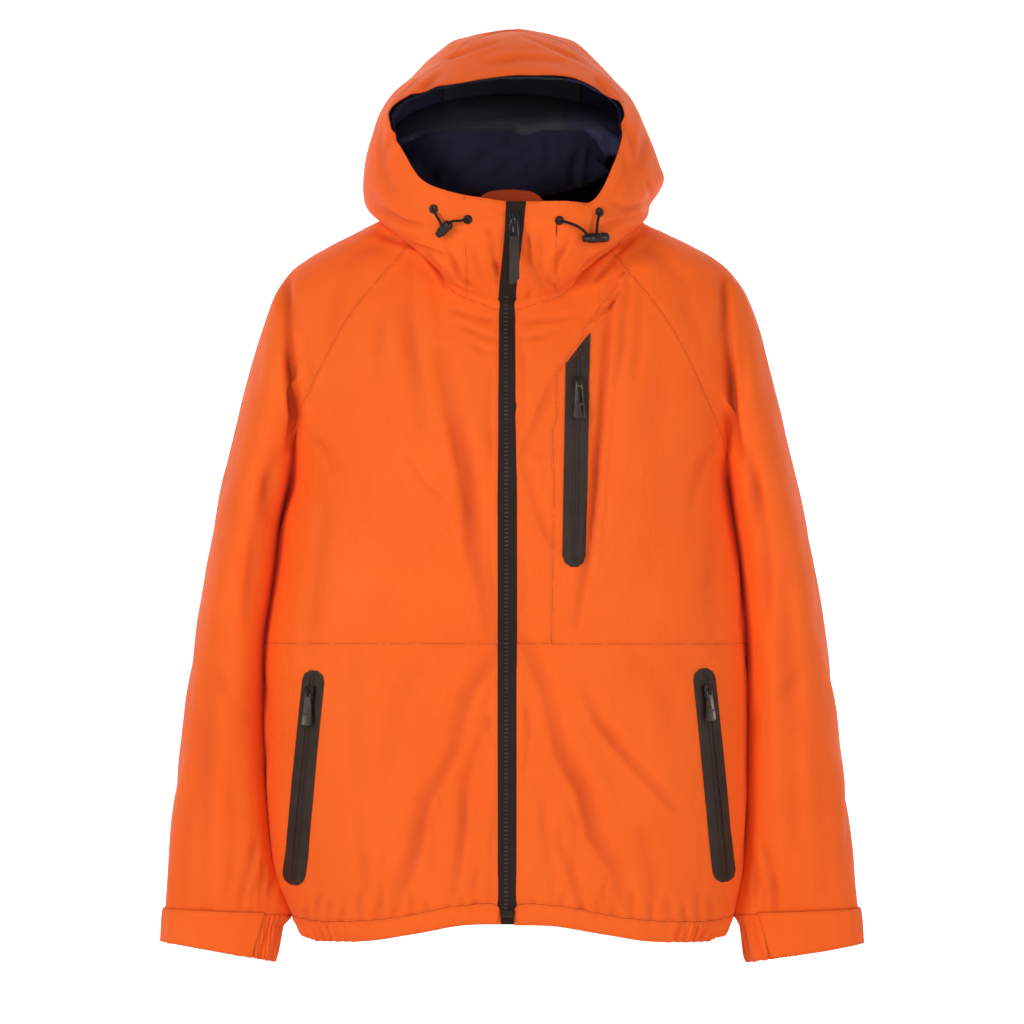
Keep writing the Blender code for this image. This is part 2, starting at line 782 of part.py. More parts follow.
def build_cloth():
    cloth = Cloth()
    build_body(cloth)
    build_sleeves(cloth)
    build_hood(cloth)
    build_zip_strip(cloth)
    cut_panels(cloth)
    mesh = cloth.mesh
    bmesh.ops.recalc_face_normals(mesh, faces=mesh.faces[:])
    mesh.normal_update()
    forward = sum(f.normal.y for f in mesh.faces if cloth.panel(f).startswith("front_"))
    if forward > 0:
        bmesh.ops.reverse_faces(mesh, faces=mesh.faces[:])
        mesh.normal_update()
    return cloth


# ---------------------------------------------------------------- solids

def material(name, look):
    if name in bpy.data.materials:
        return bpy.data.materials[name]
    (red, green, blue), roughness, metallic = look
    made = bpy.data.materials.new(name)
    made.use_nodes = True
    shader = made.node_tree.nodes["Principled BSDF"]
    shader.inputs["Base Color"].default_value = (red, green, blue, 1)
    shader.inputs["Roughness"].default_value = roughness
    shader.inputs["Metallic"].default_value = metallic
    made.diffuse_color = (red, green, blue, 1)
    return made


def add_object(name, mesh, look, hard=False):
    """Turn a bmesh's faces outwards, scale it to metres and link it; cloth becomes triangles."""
    mesh.normal_update()
    bmesh.ops.recalc_face_normals(mesh, faces=mesh.faces[:])
    if mesh.calc_volume(signed=True) < 0:
        bmesh.ops.reverse_faces(mesh, faces=mesh.faces[:])
    if not hard:
        bmesh.ops.triangulate(mesh, faces=mesh.faces[:])
    bmesh.ops.scale(mesh, vec=(MM, MM, MM), verts=mesh.verts[:])
    data = bpy.data.meshes.new(name)
    mesh.to_mesh(data)
    mesh.free()
    look_name, values = look
    data.materials.append(material(look_name, values))
    if not hard:
        data.shade_smooth()
        data.set_sharp_from_angle(angle=math.radians(40))
    made = bpy.data.objects.new(name, data)
    bpy.context.collection.objects.link(made)
    return made


def seam_pull(vertex, faces):
    """How a boundary point moves to stand back from the seams beside it."""
    pulls = []
    for edge in vertex.link_edges:
        owners = [f for f in edge.link_faces if f in faces]
        if len(owners) == 1 and vertex in owners[0].verts:
            line = (edge.verts[1].co - edge.verts[0].co).normalized()
            into = owners[0].calc_center_median() - edge.verts[0].co
            into -= line * into.dot(line)
            pulls.append(into.normalized())
    if not pulls:
        return Vector()
    total = sum(pulls, Vector())
    if total.length < 0.3:
        return Vector()
    direction = total.normalized()
    reach = max(min(direction.dot(p) for p in pulls), 0.35)
    return direction * (SEAM_DRAW / reach)


def panel_solid(cloth, name, look, wall=CLOTH):
    """The panel's faces, drawn back from their seams and given a wall inwards."""
    number = cloth.number(name)
    faces = {f for f in cloth.mesh.faces if f[cloth.label] == number}
    solid = bmesh.new()
    made, inward = {}, {}
    for face in faces:
        for vertex in face.verts:
            if vertex not in made:
                made[vertex] = solid.verts.new(vertex.co + seam_pull(vertex, faces))
                inward[made[vertex]] = cloth.normals[vertex]
    for face in faces:
        solid.faces.new([made[v] for v in face.verts])
    solid.verts.index_update()
    normals = [inward[v].copy() for v in solid.verts]
    count = len(solid.verts)
    outer = list(solid.verts)
    copies = bmesh.ops.extrude_face_region(solid, geom=solid.faces[:] + solid.edges[:] + solid.verts[:])
    fresh = [g for g in copies["geom"] if isinstance(g, bmesh.types.BMVert)]
    places = {tuple(v.co): i for i, v in enumerate(outer[:count])}
    for vertex in fresh:
        vertex.co -= normals[places[tuple(vertex.co)]] * wall
    return add_object(name, solid, look)


def grid_normals(rows, loop=False):
    """Normals of a grid of points, from its own slopes."""
    normals = []
    high, wide = len(rows), len(rows[0])
    for r in range(high):
        line = []
        for c in range(wide):
            if loop:
                along_row = rows[r][(c + 1) % wide] - rows[r][c - 1]
            else:
                along_row = rows[r][min(c + 1, wide - 1)] - rows[r][max(c - 1, 0)]
            down = rows[min(r + 1, high - 1)][c] - rows[max(r - 1, 0)][c]
            line.append(along_row.cross(down).normalized())
        normals.append(line)
    return normals


def grid_solid(name, rows, look, wall, normals=None, loop=False, flip=False):
    """A closed wall on a grid of points; the second side stands off along the normals."""
    normals = normals or grid_normals(rows, loop)
    sign = -1 if flip else 1
    solid = bmesh.new()
    near = [[solid.verts.new(p) for p in row] for row in rows]
    far = [
        [solid.verts.new(p + n * wall * sign) for p, n in zip(row, line)]
        for row, line in zip(rows, normals)
    ]
    wide = len(rows[0])
    columns = range(wide if loop else wide - 1)
    for r in range(len(rows) - 1):
        for c in columns:
            d = (c + 1) % wide
            solid.faces.new((near[r][c], near[r][d], near[r + 1][d], near[r + 1][c]))
            solid.faces.new((far[r][c], far[r + 1][c], far[r + 1][d], far[r][d]))
    for c in columns:
        d = (c + 1) % wide
        solid.faces.new((near[0][c], far[0][c], far[0][d], near[0][d]))
        solid.faces.new((near[-1][c], near[-1][d], far[-1][d], far[-1][c]))
    if not loop:
        for r in range(len(rows) - 1):
            solid.faces.new((near[r][0], near[r + 1][0], far[r + 1][0], far[r][0]))
            solid.faces.new((near[r][-1], far[r][-1], far[r + 1][-1], near[r + 1][-1]))
    return add_object(name, solid, look)


# ---------------------------------------------------------------- gathered hems and cuffs

def gathered_band(name, top, bottom, normals, gathered, look, drop=0.3, loop=False):
    """A casing under a seam: its top follows the seam's straight steps, its edge is gathered."""
    rows = [[], [], []]
    lines = [[], [], []]
    ripple = 1
    count = len(top) if loop else len(top) - 1
    for i in range(count):
        j = (i + 1) % len(top)
        length = (bottom[j] - bottom[i]).length
        steps = 1
        if gathered(i):
            steps = max(round(length / GATHER_PITCH * 2 / 2) * 2, 2)
        for s in range(steps):
            share = s / steps
            upper = top[i].lerp(top[j], share)
            lower = bottom[i].lerp(bottom[j], share)
            normal = normals[i].lerp(normals[j], share).normalized()
            rise = 0.0
            if steps > 1 and s:
                rise = GATHER_RISE * ripple
                ripple = -ripple
            fall = (lower - upper).normalized()
            rows[0].append(upper + fall * drop)
            rows[1].append(upper.lerp(lower, 0.5) + normal * rise)
            rows[2].append(lower + normal * rise)
            for line in lines:
                line.append(normal)
    if not loop:
        fall = (bottom[-1] - top[-1]).normalized()
        rows[0].append(top[-1] + fall * drop)
        rows[1].append(top[-1].lerp(bottom[-1], 0.5))
        rows[2].append(bottom[-1])
        for line in lines:
            line.append(normals[-1])
    return grid_solid(name, rows, look, CLOTH, lines, loop, flip=True)


def draw_ends(points, gap):
    """Stand the two ends of a run back from their seams."""
    moved = list(points)
    moved[0] = points[0] + (points[1] - points[0]).normalized() * gap
    moved[-1] = points[-1] + (points[-2] - points[-1]).normalized() * gap
    return moved


def build_hem(cloth):
    last = CHEST_ROWS + SKIRT_ROWS
    orange = ("shell_orange", ORANGE)

    def run(side, columns):
        tops = [cloth.points[skirt_key(last, side, j)] for j in columns]
        return [v.co.copy() for v in tops], [cloth.normals[v].copy() for v in tops]

    rings = {side: skirt_ring(side, lambda face, x: hem_edge[face](x)) for side in SIDES}
    for side in SIDES:
        columns = range(FRONT_COLUMNS + 1)
        top, normals = run(side, columns)
        bottom = [rings[side][j] for j in columns]
        reach = [abs(p.x) for p in top]
        gathered_band(
            "hem_front_" + side, draw_ends(top, SEAM_DRAW), draw_ends(bottom, SEAM_DRAW), normals,
            lambda i: (reach[i] + reach[i + 1]) / 2 > GATHER_FRONT_START, orange,
        )
    back_columns = range(FRONT_COLUMNS, FRONT_COLUMNS + BACK_COLUMNS + 1)
    left_top, left_normals = run("left", back_columns)
    right_top, right_normals = run("right", back_columns)
    top = left_top + right_top[::-1][1:]
    normals = left_normals + right_normals[::-1][1:]
    bottom = [rings["left"][j] for j in back_columns] + [rings["right"][j] for j in back_columns][::-1][1:]
    reach = [abs(p.x) for p in top]
    gathered_band(
        "hem_back", draw_ends(top, SEAM_DRAW), draw_ends(bottom, SEAM_DRAW), normals,
        lambda i: (reach[i] + reach[i + 1]) / 2 > GATHER_BACK_START, orange,
    )


TAB_FIRST, TAB_LAST = 1, 9
TAB_STAND = 0.9
TAB_WALL = 1.8


def build_cuffs(cloth):
    orange = ("shell_orange", ORANGE)
    count = 2 * CAP_COLUMNS
    for side in SIDES:
        tops = [cloth.points[sleeve_key(SLEEVE_ROWS, side, j)] for j in range(count)]
        top = [v.co.copy() for v in tops]
        normals = [cloth.normals[v].copy() for v in tops]
        bottom = sleeve_ring(side, CUFF_EDGE)[:-1]
        gathered_band(
            "cuff_" + side, top, bottom, normals,
            lambda i: not TAB_FIRST <= i < TAB_LAST, orange, loop=True,
        )
        outward = grid_normals([top, bottom], loop=True)
        sign = 1
        if outward[0][CAP_COLUMNS].x * SIDES[side] < 0:
            sign = -1
        rows, lines = [], []
        for share in (-0.05, 0.35, 0.75, 1.03):
            row, line = [], []
            for j in range(TAB_FIRST, TAB_LAST + 1):
                for half in (0, 0.5):
                    if j == TAB_LAST and half:
                        break
                    upper = top[j].lerp(top[(j + 1) % count], half)
                    lower = bottom[j].lerp(bottom[(j + 1) % count], half)
                    normal = (outward[0][j].lerp(outward[0][(j + 1) % count], half)).normalized() * sign
                    row.append(upper.lerp(lower, share) + normal * TAB_STAND)
                    line.append(normal)
            rows.append(row)
            lines.append(line)
        grid_solid("cuff_tab_" + side, rows, orange, TAB_WALL, lines)


# ---------------------------------------------------------------- laid on the cloth

class Skin:
    """Finds the cloth's outer surface behind a place in front view."""

    def __init__(self, cloth):
        copy = cloth.mesh.copy()
        bmesh.ops.triangulate(copy, faces=copy.faces[:])
        copy.normal_update()
        copy.faces.ensure_lookup_table()
        self.tree = BVHTree.FromBMesh(copy)
        self.normals = {f.index: f.normal.copy() for f in copy.faces}
        self.smooth = [[v.normal.copy() for v in f.verts] for f in copy.faces]
        self.corners = [[v.co.copy() for v in f.verts] for f in copy.faces]
        copy.free()

    def at(self, x, z):
        """The surface point and its smooth normal at a place in front view."""
        point, normal, index, _ = self.tree.ray_cast(Vector((x, -400, z)), Vector((0, 1, 0)))
        if point is None:
            raise ValueError(f"no cloth at {x}, {z}")
        return point, self.blend(index, point)

    def lifted(self, x, z, height):
        point, normal = self.at(x, z)
        return point + normal * height

    def normal_near(self, place):
        """The smooth normal of the surface nearest to a place."""
        point, _, index, _ = self.tree.find_nearest(place)
        return self.blend(index, point)

    def blend(self, index, point):
        a, b, c = self.corners[index]
        na, nb, nc = self.smooth[index]
        area = (b - a).cross(c - a)
        total = area.dot(area)
        u = (c - b).cross(point - b).dot(area) / total
        v = (a - c).cross(point - c).dot(area) / total
        return (na * u + nb * v + nc * (1 - u - v)).normalized()


def pocket_outline(pocket, half, inset, steps_round=4, step_along=16):
    """A long outline with a round foot and a round or slanted head, in front view."""
    a, b = Vector(pocket.top), Vector(pocket.bottom)
    axis = (a - b).normalized()
    across = Vector((-axis.y, axis.x)) * -1
    foot = b + axis * (inset + half)
    if pocket.slant:
        rise = axis * pocket.slant * half
        head = a - axis * inset
        right_top, left_top = head + across * half + rise, head - across * half - rise
    else:
        head = a - axis * (inset + half)
        right_top, left_top = head + across * half, head - across * half
    steps = round((a - b).length / step_along)
    outline = []
    for i in range(steps):
        outline.append((foot + across * half).lerp(right_top, i / steps))
    for i in range(steps_round + 1):
        if pocket.slant:
            outline.append(right_top.lerp(left_top, i / (steps_round + 1)))
        else:
            turn = math.pi * i / (steps_round + 1)
            outline.append(head + across * half * math.cos(turn) + axis * half * math.sin(turn))
    for i in range(steps):
        outline.append(left_top.lerp(foot - across * half, i / steps))
    for i in range(steps_round + 1):
        turn = math.pi * i / (steps_round + 1)
        outline.append(foot - across * half * math.cos(turn) - axis * half * math.sin(turn))
    return outline


def band_ring(name, skin, outer, inner, look, height=SEAT, wall=BAND):
    """A flat ring between two outlines, lying on the cloth."""
    solid = bmesh.new()
    middle = [p.lerp(q, 0.5) for p, q in zip(outer, inner)]
    loops = []
    for outline, lift in (
        (outer, height), (outer, height + wall), (middle, height + wall),
        (inner, height + wall), (inner, height), (middle, height),
    ):
        loops.append([solid.verts.new(skin.lifted(p.x, p.y, lift)) for p in outline])
    count = len(outer)
    for k in range(len(loops)):
        for i in range(count):
            j = (i + 1) % count
            after = loops[(k + 1) % len(loops)]
            solid.faces.new((loops[k][i], loops[k][j], after[j], after[i]))
    return add_object(name, solid, look)


def strip_solid(name, skin, top, bottom, half, look, height=SEAT, wall=BAND, step=14):
    """A strip of constant width lying on the cloth from top to bottom."""
    a, b = Vector((top[0], top[1])), Vector((bottom[0], bottom[1]))
    axis = (a - b).normalized()
    across = Vector((axis.y, -axis.x))
    steps = max(round((a - b).length / step), 1)
    rows, normals = [], []
    for i in range(steps + 1):
        centre = a.lerp(b, i / steps)
        row, line = [], []
        for share in (-1, 0, 1):
            place = centre + across * half * share
            point, normal = skin.at(place.x, place.y)
            row.append(point + normal * height)
            line.append(normal)
        rows.append(row)
        normals.append(line)
    return grid_solid(name, rows, look, wall, normals)


Slider = namedtuple(
    "Slider", "body_wide body_long body_high arch_wide arch_long arch_high bar pull_waist pull_wide"
)
POCKET_SLIDER = Slider(9.0, 13.0, 3.0, 2.4, 6.0, 3.6, 1.3, 7.0, 12.0)
MAIN_SLIDER = Slider(10.0, 17.0, 3.6, 2.6, 7.0, 4.0, 1.5, 10.0, 10.0)
MAIN_PULL = 61.0


def frame_at(skin, x, z, towards):
    """A place on the cloth with its outward, downward and sideways directions."""
    point, normal = skin.at(x, z)
    down = Vector((towards[0], 0, towards[1]))
    down = (down - normal * down.dot(normal)).normalized()
    aside = normal.cross(down).normalized()
    return point, aside, down, normal


def box(mesh, place, centre, size, bevel=0.0):
    """A box in a placed frame; centre and size are aside, down, outward."""
    point, aside, down, out = place
    made = bmesh.ops.create_cube(mesh, size=1.0)["verts"]
    for vertex in made:
        a = centre[0] + vertex.co.x * size[0]
        d = centre[1] + vertex.co.y * size[1]
        o = centre[2] + vertex.co.z * size[2]
        vertex.co = point + aside * a + down * d + out * o
    if bevel:
        edges = {e for v in made for e in v.link_edges}
        bmesh.ops.bevel(
            mesh, geom=list(edges), offset=bevel, offset_type="OFFSET", segments=1,
            profile=0.5, affect="EDGES", material=-1,
        )


def extruded(mesh, place, outline, half, flare=0.0):
    """An outline in the down-outward plane, extruded to both sides, wider towards its ends by flare."""
    point, aside, down, out = place
    near, far = [], []
    for d, o in outline:
        reach = half * (1 + flare * d * d)
        near.append(mesh.verts.new(point - aside * reach + down * d + out * o))
        far.append(mesh.verts.new(point + aside * reach + down * d + out * o))
    count = len(outline)
    mesh.faces.new(near)
    mesh.faces.new(far[::-1])
    for i in range(count):
        j = (i + 1) % count
        mesh.faces.new((near[j], near[i], far[i], far[j]))


def zip_slider(name, place, s, base):
    """A slider: a body over the teeth with an arch on it that the pull's bar turns in."""
    high = base + s.body_high
    legs = s.bar + 0.5
    mesh = bmesh.new()
    outline = [
        (-s.body_long / 2, base), (s.body_long / 2, base), (s.body_long / 2, high - 0.8),
        (s.body_long / 2 - 0.8, high), (-s.body_long / 2 + 0.8, high), (-s.body_long / 2, high - 0.8),
    ]
    extruded(mesh, place, outline, s.body_wide / 2)
    slider = add_object(name, mesh, ("gunmetal", GUNMETAL), hard=True)
    arch = bmesh.new()
    hole = legs / 2 + 0.15
    eye = high + 0.45 + s.bar / 2
    end, crown, roof = s.arch_long / 2, high + s.arch_high, eye + s.bar / 2 + 0.45
    ring = [
        (-end, high - 0.5), (-end, crown - 1), (-end + 1, crown), (end - 1, crown), (end, crown - 1),
        (end, high - 0.5), (hole, high - 0.5), (hole, roof), (-hole, roof), (-hole, high - 0.5),
    ]
    extruded(arch, place, ring, s.arch_wide / 2, flare=0.015)
    helper = add_object(name + "_arch", arch, ("gunmetal", GUNMETAL), hard=True)
    join = slider.modifiers.new("arch", "BOOLEAN")
    join.operation = "UNION"
    join.object = helper
    helper.hide_render = True
    helper.display_type = "WIRE"
    return eye


def pull_tab(name, place, s, eye, foot, look, slanted):
    """A pull: a bar through the slider's arch, two arms round it, and a tab that widens to its foot."""
    thick = s.bar
    half_arch = s.arch_wide / 2 + 0.6
    half, waist = s.pull_wide / 2, s.pull_waist / 2
    reach = s.arch_long / 2 + 0.6
    right_corner = (half, foot - half) if slanted else (half, foot - 1.6)
    right_foot = (-half * 0.2, foot) if slanted else (half - 1.6, foot)
    outline = [
        (-half_arch - 1.6, -thick / 2), (half_arch + 1.6, -thick / 2), (waist, reach + 2), right_corner,
        right_foot, (-half + 1.2, foot), (-half, foot - 1.2), (-waist, reach + 2),
    ]
    window = [(-half_arch, thick / 2), (half_arch, thick / 2), (half_arch, reach), (-half_arch, reach)]
    mesh = bmesh.new()
    point, aside, down, out = place
    layers = []
    for lift in (eye - thick / 2, eye + thick / 2):
        outer = [mesh.verts.new(point + aside * a + down * d + out * lift) for a, d in outline]
        inner = [mesh.verts.new(point + aside * a + down * d + out * lift) for a, d in window]
        for o1, o2, i1, i2 in ((0, 1, 0, 1), (1, 2, 1, 2), (7, 0, 3, 0)):
            mesh.faces.new((outer[o1], outer[o2], inner[i2], inner[i1]))
        mesh.faces.new((inner[3], inner[2], *outer[2:]))
        layers.append((outer, inner))
    for lower, upper in zip(*layers):
        for i in range(len(lower)):
            j = (i + 1) % len(lower)
            mesh.faces.new((lower[i], lower[j], upper[j], upper[i]))
    return add_object(name, mesh, look, hard=True)


Pocket = namedtuple("Pocket", "name top bottom half slant slider pull")
POCKETS = (
    Pocket("chest", (66.3, -127.5), (62.5, -345), 11.8, 1.32, (66.5, -163), 37.0),
    Pocket("hand_left", (-195.5, -447), (-215.6, -662), 11.0, 0, (-197.5, -470), 32.5),
    Pocket("hand_right", (191, -445), (212, -659), 11.0, 0, (193, -468), 29.5),
)
SLOT_HALF = 3.4
SLOT_END = 5.0
POCKET_SEAT = 0.9


def build_pocket(skin, pocket):
    """A welded surround, the zip strip in its slot, a slider and its pull."""
    name = "pocket_" + pocket.name
    a, b = Vector(pocket.top), Vector(pocket.bottom)
    axis = (a - b).normalized()
    outer = pocket_outline(pocket, pocket.half, 0)
    inner = pocket_outline(pocket, SLOT_HALF, SLOT_END)
    band_ring(name + "_surround", skin, outer, inner, ("welded_band", RUBBER), height=POCKET_SEAT)
    strip_solid(
        name + "_zip", skin, a - axis * (SLOT_END + 5), b + axis * (SLOT_END + 3), SLOT_HALF - 0.6,
        ("zip_tape", TAPE), height=POCKET_SEAT, wall=BAND - 0.3, step=20,
    )
    place = frame_at(skin, pocket.slider[0], pocket.slider[1], (-axis.x, -axis.y))
    eye = zip_slider(name + "_slider", place, POCKET_SLIDER, POCKET_SEAT + BAND + 0.8)
    pull_tab(name + "_pull", place, POCKET_SLIDER, eye, pocket.pull, ("gunmetal", GUNMETAL), slanted=False)
    return hinge_of(place, eye)


def hinge_of(place, eye):
    point, aside, down, out = place
    return (point + out * eye) * MM, aside


def build_main_zip(skin):
    slider_z = 1.0
    x = zip_x(slider_z)
    place = frame_at(skin, x, slider_z, (0, -1))
    base = SEAT + 0.3
    eye = zip_slider("main_zip_slider", place, MAIN_SLIDER, base)
    pull_tab("main_zip_pull", place, MAIN_SLIDER, eye, MAIN_PULL, ("pull_rubber", PLASTIC), slanted=True)
    stop = frame_at(skin, zip_x(-694), -689, (0, -1))
    mesh = bmesh.new()
    box(mesh, stop, (0, 0, SEAT + 1.2), (11, 8, 2.0), bevel=0.5)
    add_object("main_zip_stop", mesh, ("gunmetal", GUNMETAL))
    return hinge_of(place, eye)


# ---------------------------------------------------------------- drawcord

EYELETS = {
    "left": ((-77, 11), (-43, 0.5)),
    "right": ((48, -0.5), (88, 8)),
}
EYELET_OUTER, EYELET_HOLE, EYELET_HIGH = 4.6, 2.0, 1.4
CORD_RADIUS = 1.4
CORD_ROUTES = {
    "left": (
        Lay(-77, 11, 0.9), Lay(-77, 11, 3.8), Lay(-74.5, 8, 5.6), Lay(-70, 1.5, 6.6), Lay(-67, -3.5, 6.8),
        Lay(-68, -8.0, 6.8), Lay(-65.5, -10.0, 6.8), Lay(-62.5, -7.5, 6.8), Lay(-61, -3.0, 6.8),
        Lay(-57, -0.8, 6.6), Lay(-50, -0.5, 6.0), Lay(-43, 0.5, 4.0), Lay(-43, 0.5, 0.9),
    ),
    "right": (
        Lay(48, -0.5, 0.9), Lay(48, -0.5, 4.0), Lay(54, -1.5, 6.0), Lay(64, -5, 6.4), Lay(71, -10, 6.6),
        Lay(74, -15, 6.6), Lay(78.5, -17, 6.6), Lay(81.5, -14, 6.6), Lay(82, -8, 6.6), Lay(83, 0, 6.4),
        Lay(85.5, 6, 5.6), Lay(88, 8, 3.6), Lay(88, 8, 0.9),
    ),
}
LOCKS = {
    "left": ((-70.5, -13.5), (-59.5, -2.5)),
    "right": ((69.5, -16.5), (92.5, -14.5)),
}
LOCK_RADIUS = 5.0
LOCK_HEIGHT = 6.4


def ring_solid(name, place, outer, hole, low, high, look, sides=14):
    """A flat ring standing on a placed frame."""
    point, aside, down, out = place
    mesh = bmesh.new()
    loops = []
    for radius, lift in ((outer, low), (outer * 0.96, high), (hole, high), (hole, low)):
        ring = []
        for i in range(sides):
            turn = 2 * math.pi * i / sides
            ring.append(mesh.verts.new(
                point + aside * radius * math.cos(turn) + down * radius * math.sin(turn) + out * lift
            ))
        loops.append(ring)
    for k in range(4):
        for i in range(sides):
            j = (i + 1) % sides
            mesh.faces.new((loops[k][i], loops[k][j], loops[(k + 1) % 4][j], loops[(k + 1) % 4][i]))
    return add_object(name, mesh, look)


def cord_object(name, points, radius, look):
    data = bpy.data.curves.new(name, "CURVE")
    data.dimensions = "3D"
    data.bevel_depth = radius * MM
    data.bevel_resolution = 2
    data.use_fill_caps = True
    spline = data.splines.new("POLY")
    spline.points.add(len(points) - 1)
    for target, point in zip(spline.points, points):
        target.co = (point.x * MM, point.y * MM, point.z * MM, 1)
    look_name, values = look
    data.materials.append(material(look_name, values))
    made = bpy.data.objects.new(name, data)
    bpy.context.collection.objects.link(made)
    return made


def swept(points, radius, sides=10):
    """A closed round tube along a path."""
    mesh = bmesh.new()
    aside = Vector((0, 1, 0))
    loops = []
    for i, point in enumerate(points):
        along_path = (points[min(i + 1, len(points) - 1)] - points[max(i - 1, 0)]).normalized()
        aside = (aside - along_path * aside.dot(along_path)).normalized()
        other = along_path.cross(aside)
        loops.append([
            mesh.verts.new(
                point + aside * radius * math.cos(2 * math.pi * k / sides)
                + other * radius * math.sin(2 * math.pi * k / sides)
            )
            for k in range(sides)
        ])
    for low, high in zip(loops, loops[1:]):
        for k in range(sides):
            j = (k + 1) % sides
            mesh.faces.new((low[k], low[j], high[j], high[k]))
    mesh.faces.new(loops[0][::-1])
    mesh.faces.new(loops[-1])
    return mesh


def cord_points(skin, side):
    route = [skin.lifted(lay.x, lay.z, lay.lift) for lay in CORD_ROUTES[side]]
    path = smooth_path(route, 120)
    length = sum((b - a).length for a, b in zip(path, path[1:]))
    return along(path, max(round(length / (CORD_RADIUS * 2 * 1.3)), 8))


def build_drawcord(skin, side):
    """Two eyelets, the loop of cord between them, and the lock that it runs through."""
    for number, (x, z) in enumerate(EYELETS[side], 1):
        place = frame_at(skin, x, z, (0, -1))
        ring_solid(
            f"eyelet_{side}_{number}", place, EYELET_OUTER, EYELET_HOLE, SEAT, SEAT + EYELET_HIGH,
            ("gunmetal", GUNMETAL),
        )
    points = cord_points(skin, side)
    cord_object("cord_" + side, points, CORD_RADIUS, ("cord_black", BLACK_CLOTH))
    (x0, z0), (x1, z1) = LOCKS[side]
    start, end = skin.lifted(x0, z0, LOCK_HEIGHT), skin.lifted(x1, z1, LOCK_HEIGHT)
    axis = (end - start).normalized()
    mesh = bmesh.new()
    sides = 12
    aside = axis.cross(Vector((0, 1, 0))).normalized()
    other = axis.cross(aside).normalized()
    loops = []
    length = (end - start).length
    for share, swell in ((0, 0.72), (0.08, 0.95), (0.3, 1.0), (0.7, 1.0), (0.92, 0.95), (1, 0.72)):
        centre = start + axis * length * share
        radius = LOCK_RADIUS * swell
        loops.append([
            mesh.verts.new(
                centre + aside * radius * math.cos(2 * math.pi * i / sides)
                + other * radius * math.sin(2 * math.pi * i / sides)
            )
            for i in range(sides)
        ])
    for low, high in zip(loops, loops[1:]):
        for i in range(sides):
            j = (i + 1) % sides
            mesh.faces.new((low[i], low[j], high[j], high[i]))
    mesh.faces.new(loops[0][::-1])
    mesh.faces.new(loops[-1])
    lock = add_object("cord_lock_" + side, mesh, ("lock_plastic", PLASTIC), hard=True)
    bore_mesh = swept(points, CORD_RADIUS + 0.3)
    cutter = add_object("cord_lock_bore_" + side, bore_mesh, ("lock_plastic", PLASTIC), hard=True)
    cutter.hide_render = True
    cutter.display_type = "WIRE"
    bore = lock.modifiers.new("bore", "BOOLEAN")
    bore.operation = "DIFFERENCE"
    bore.object = cutter


# ---------------------------------------------------------------- hood lining

LINING_EDGE, LINING_GAP = 1.95, 3.4
LINING_WALL = 1.0
LINING_ROWS = 8
LINING_FIRST, LINING_LAST = 10, 54
LINING_CENTRE = (28, 36)
LINING_LOW = 0.42
LINING_PATH_STEPS = 60

ROLL_FIRST, ROLL_LAST = 16, 48
ROLL_FRONT = ((-106, -8), (-92, -17), (-50, -21), (0, -20), (50, -21), (84, -17), (96, -8))
ROLL_TOP = ((-106, 74), (-92, 88), (-60, 93), (-20, 92), (4, 89), (30, 94), (72, 94), (90, 84), (96, 66))
# Share of the way from the wall to the front edge, and drop below the top line
ROLL_SECTION = (
    (0.0, 0), (0.35, -3), (0.7, -3), (0.93, 2), (1.0, 12), (1.02, 30), (0.97, 50), (0.86, 64), (0.72, 72),
)


def lining_rows(cloth, shell, columns):
    """Points and normals of the lining along the given columns, rim row first."""
    path = hood_lines()
    rows = [[] for _ in range(LINING_ROWS + 1)]
    lines = [[] for _ in range(LINING_ROWS + 1)]
    for j in columns:
        dense = along(path(j, cloth.vertex(hood_key(0, j)).co), LINING_PATH_STEPS)
        length = sum((b - a).length for a, b in zip(dense, dense[1:]))
        for r in range(LINING_ROWS + 1):
            index = mix(1 - 3.0 / length, LINING_LOW, r / LINING_ROWS) * LINING_PATH_STEPS
            i = min(int(index), LINING_PATH_STEPS - 1)
            near, _, _, _ = shell.tree.find_nearest(dense[i].lerp(dense[i + 1], index - i))
            normal = shell.normal_near(near)
            rows[r].append(near - normal * (LINING_GAP if r else LINING_EDGE))
            lines[r].append(normal)
    return rows, lines


def build_lining(cloth, shell):
    """The hood's lining where it shows: two sides and a centre back piece inside the shell."""
    navy, black = ("lining_navy", NAVY), ("lining_black", BLACK_CLOTH)
    for name, first, last, look in (
        ("hood_lining_left", LINING_FIRST, LINING_CENTRE[0], navy),
        ("hood_lining_centre", *LINING_CENTRE, black),
        ("hood_lining_right", LINING_CENTRE[1], LINING_LAST, navy),
    ):
        rows, lines = lining_rows(cloth, shell, range(first, last + 1, 2))
        grid_solid(name, [draw_ends(row, SEAM_DRAW) for row in rows], look, LINING_WALL, lines, flip=True)


def build_roll(cloth, shell):
    """The lining's slump at the nape: from the wall's foot forward, over and back under itself."""
    columns = list(range(ROLL_FIRST, ROLL_LAST + 1, 2))
    rows, lines = lining_rows(cloth, shell, columns)
    foot = [point - normal * (LINING_WALL + 0.5) for point, normal in zip(rows[-1], lines[-1])]
    front_y, top_z = curve(ROLL_FRONT), curve(ROLL_TOP)
    sheet = []
    for share, drop in ROLL_SECTION:
        row = []
        for i, wall in enumerate(foot):
            across = i / (len(foot) - 1)
            x = mix(ROLL_FRONT[0][0], ROLL_FRONT[-1][0], across)
            edge = Vector((x, front_y(x), 0))
            fade = math.sin(math.pi * min(max(across, 0.06), 0.94)) ** 0.4
            z = mix(wall.z, top_z(x), min(share * 1.3, 1)) - drop * fade
            row.append(Vector((mix(wall.x, edge.x, share), mix(wall.y, edge.y, share), z)))
        sheet.append(row)
    grid_solid("hood_lining_roll", sheet, ("lining_navy", NAVY), LINING_WALL)


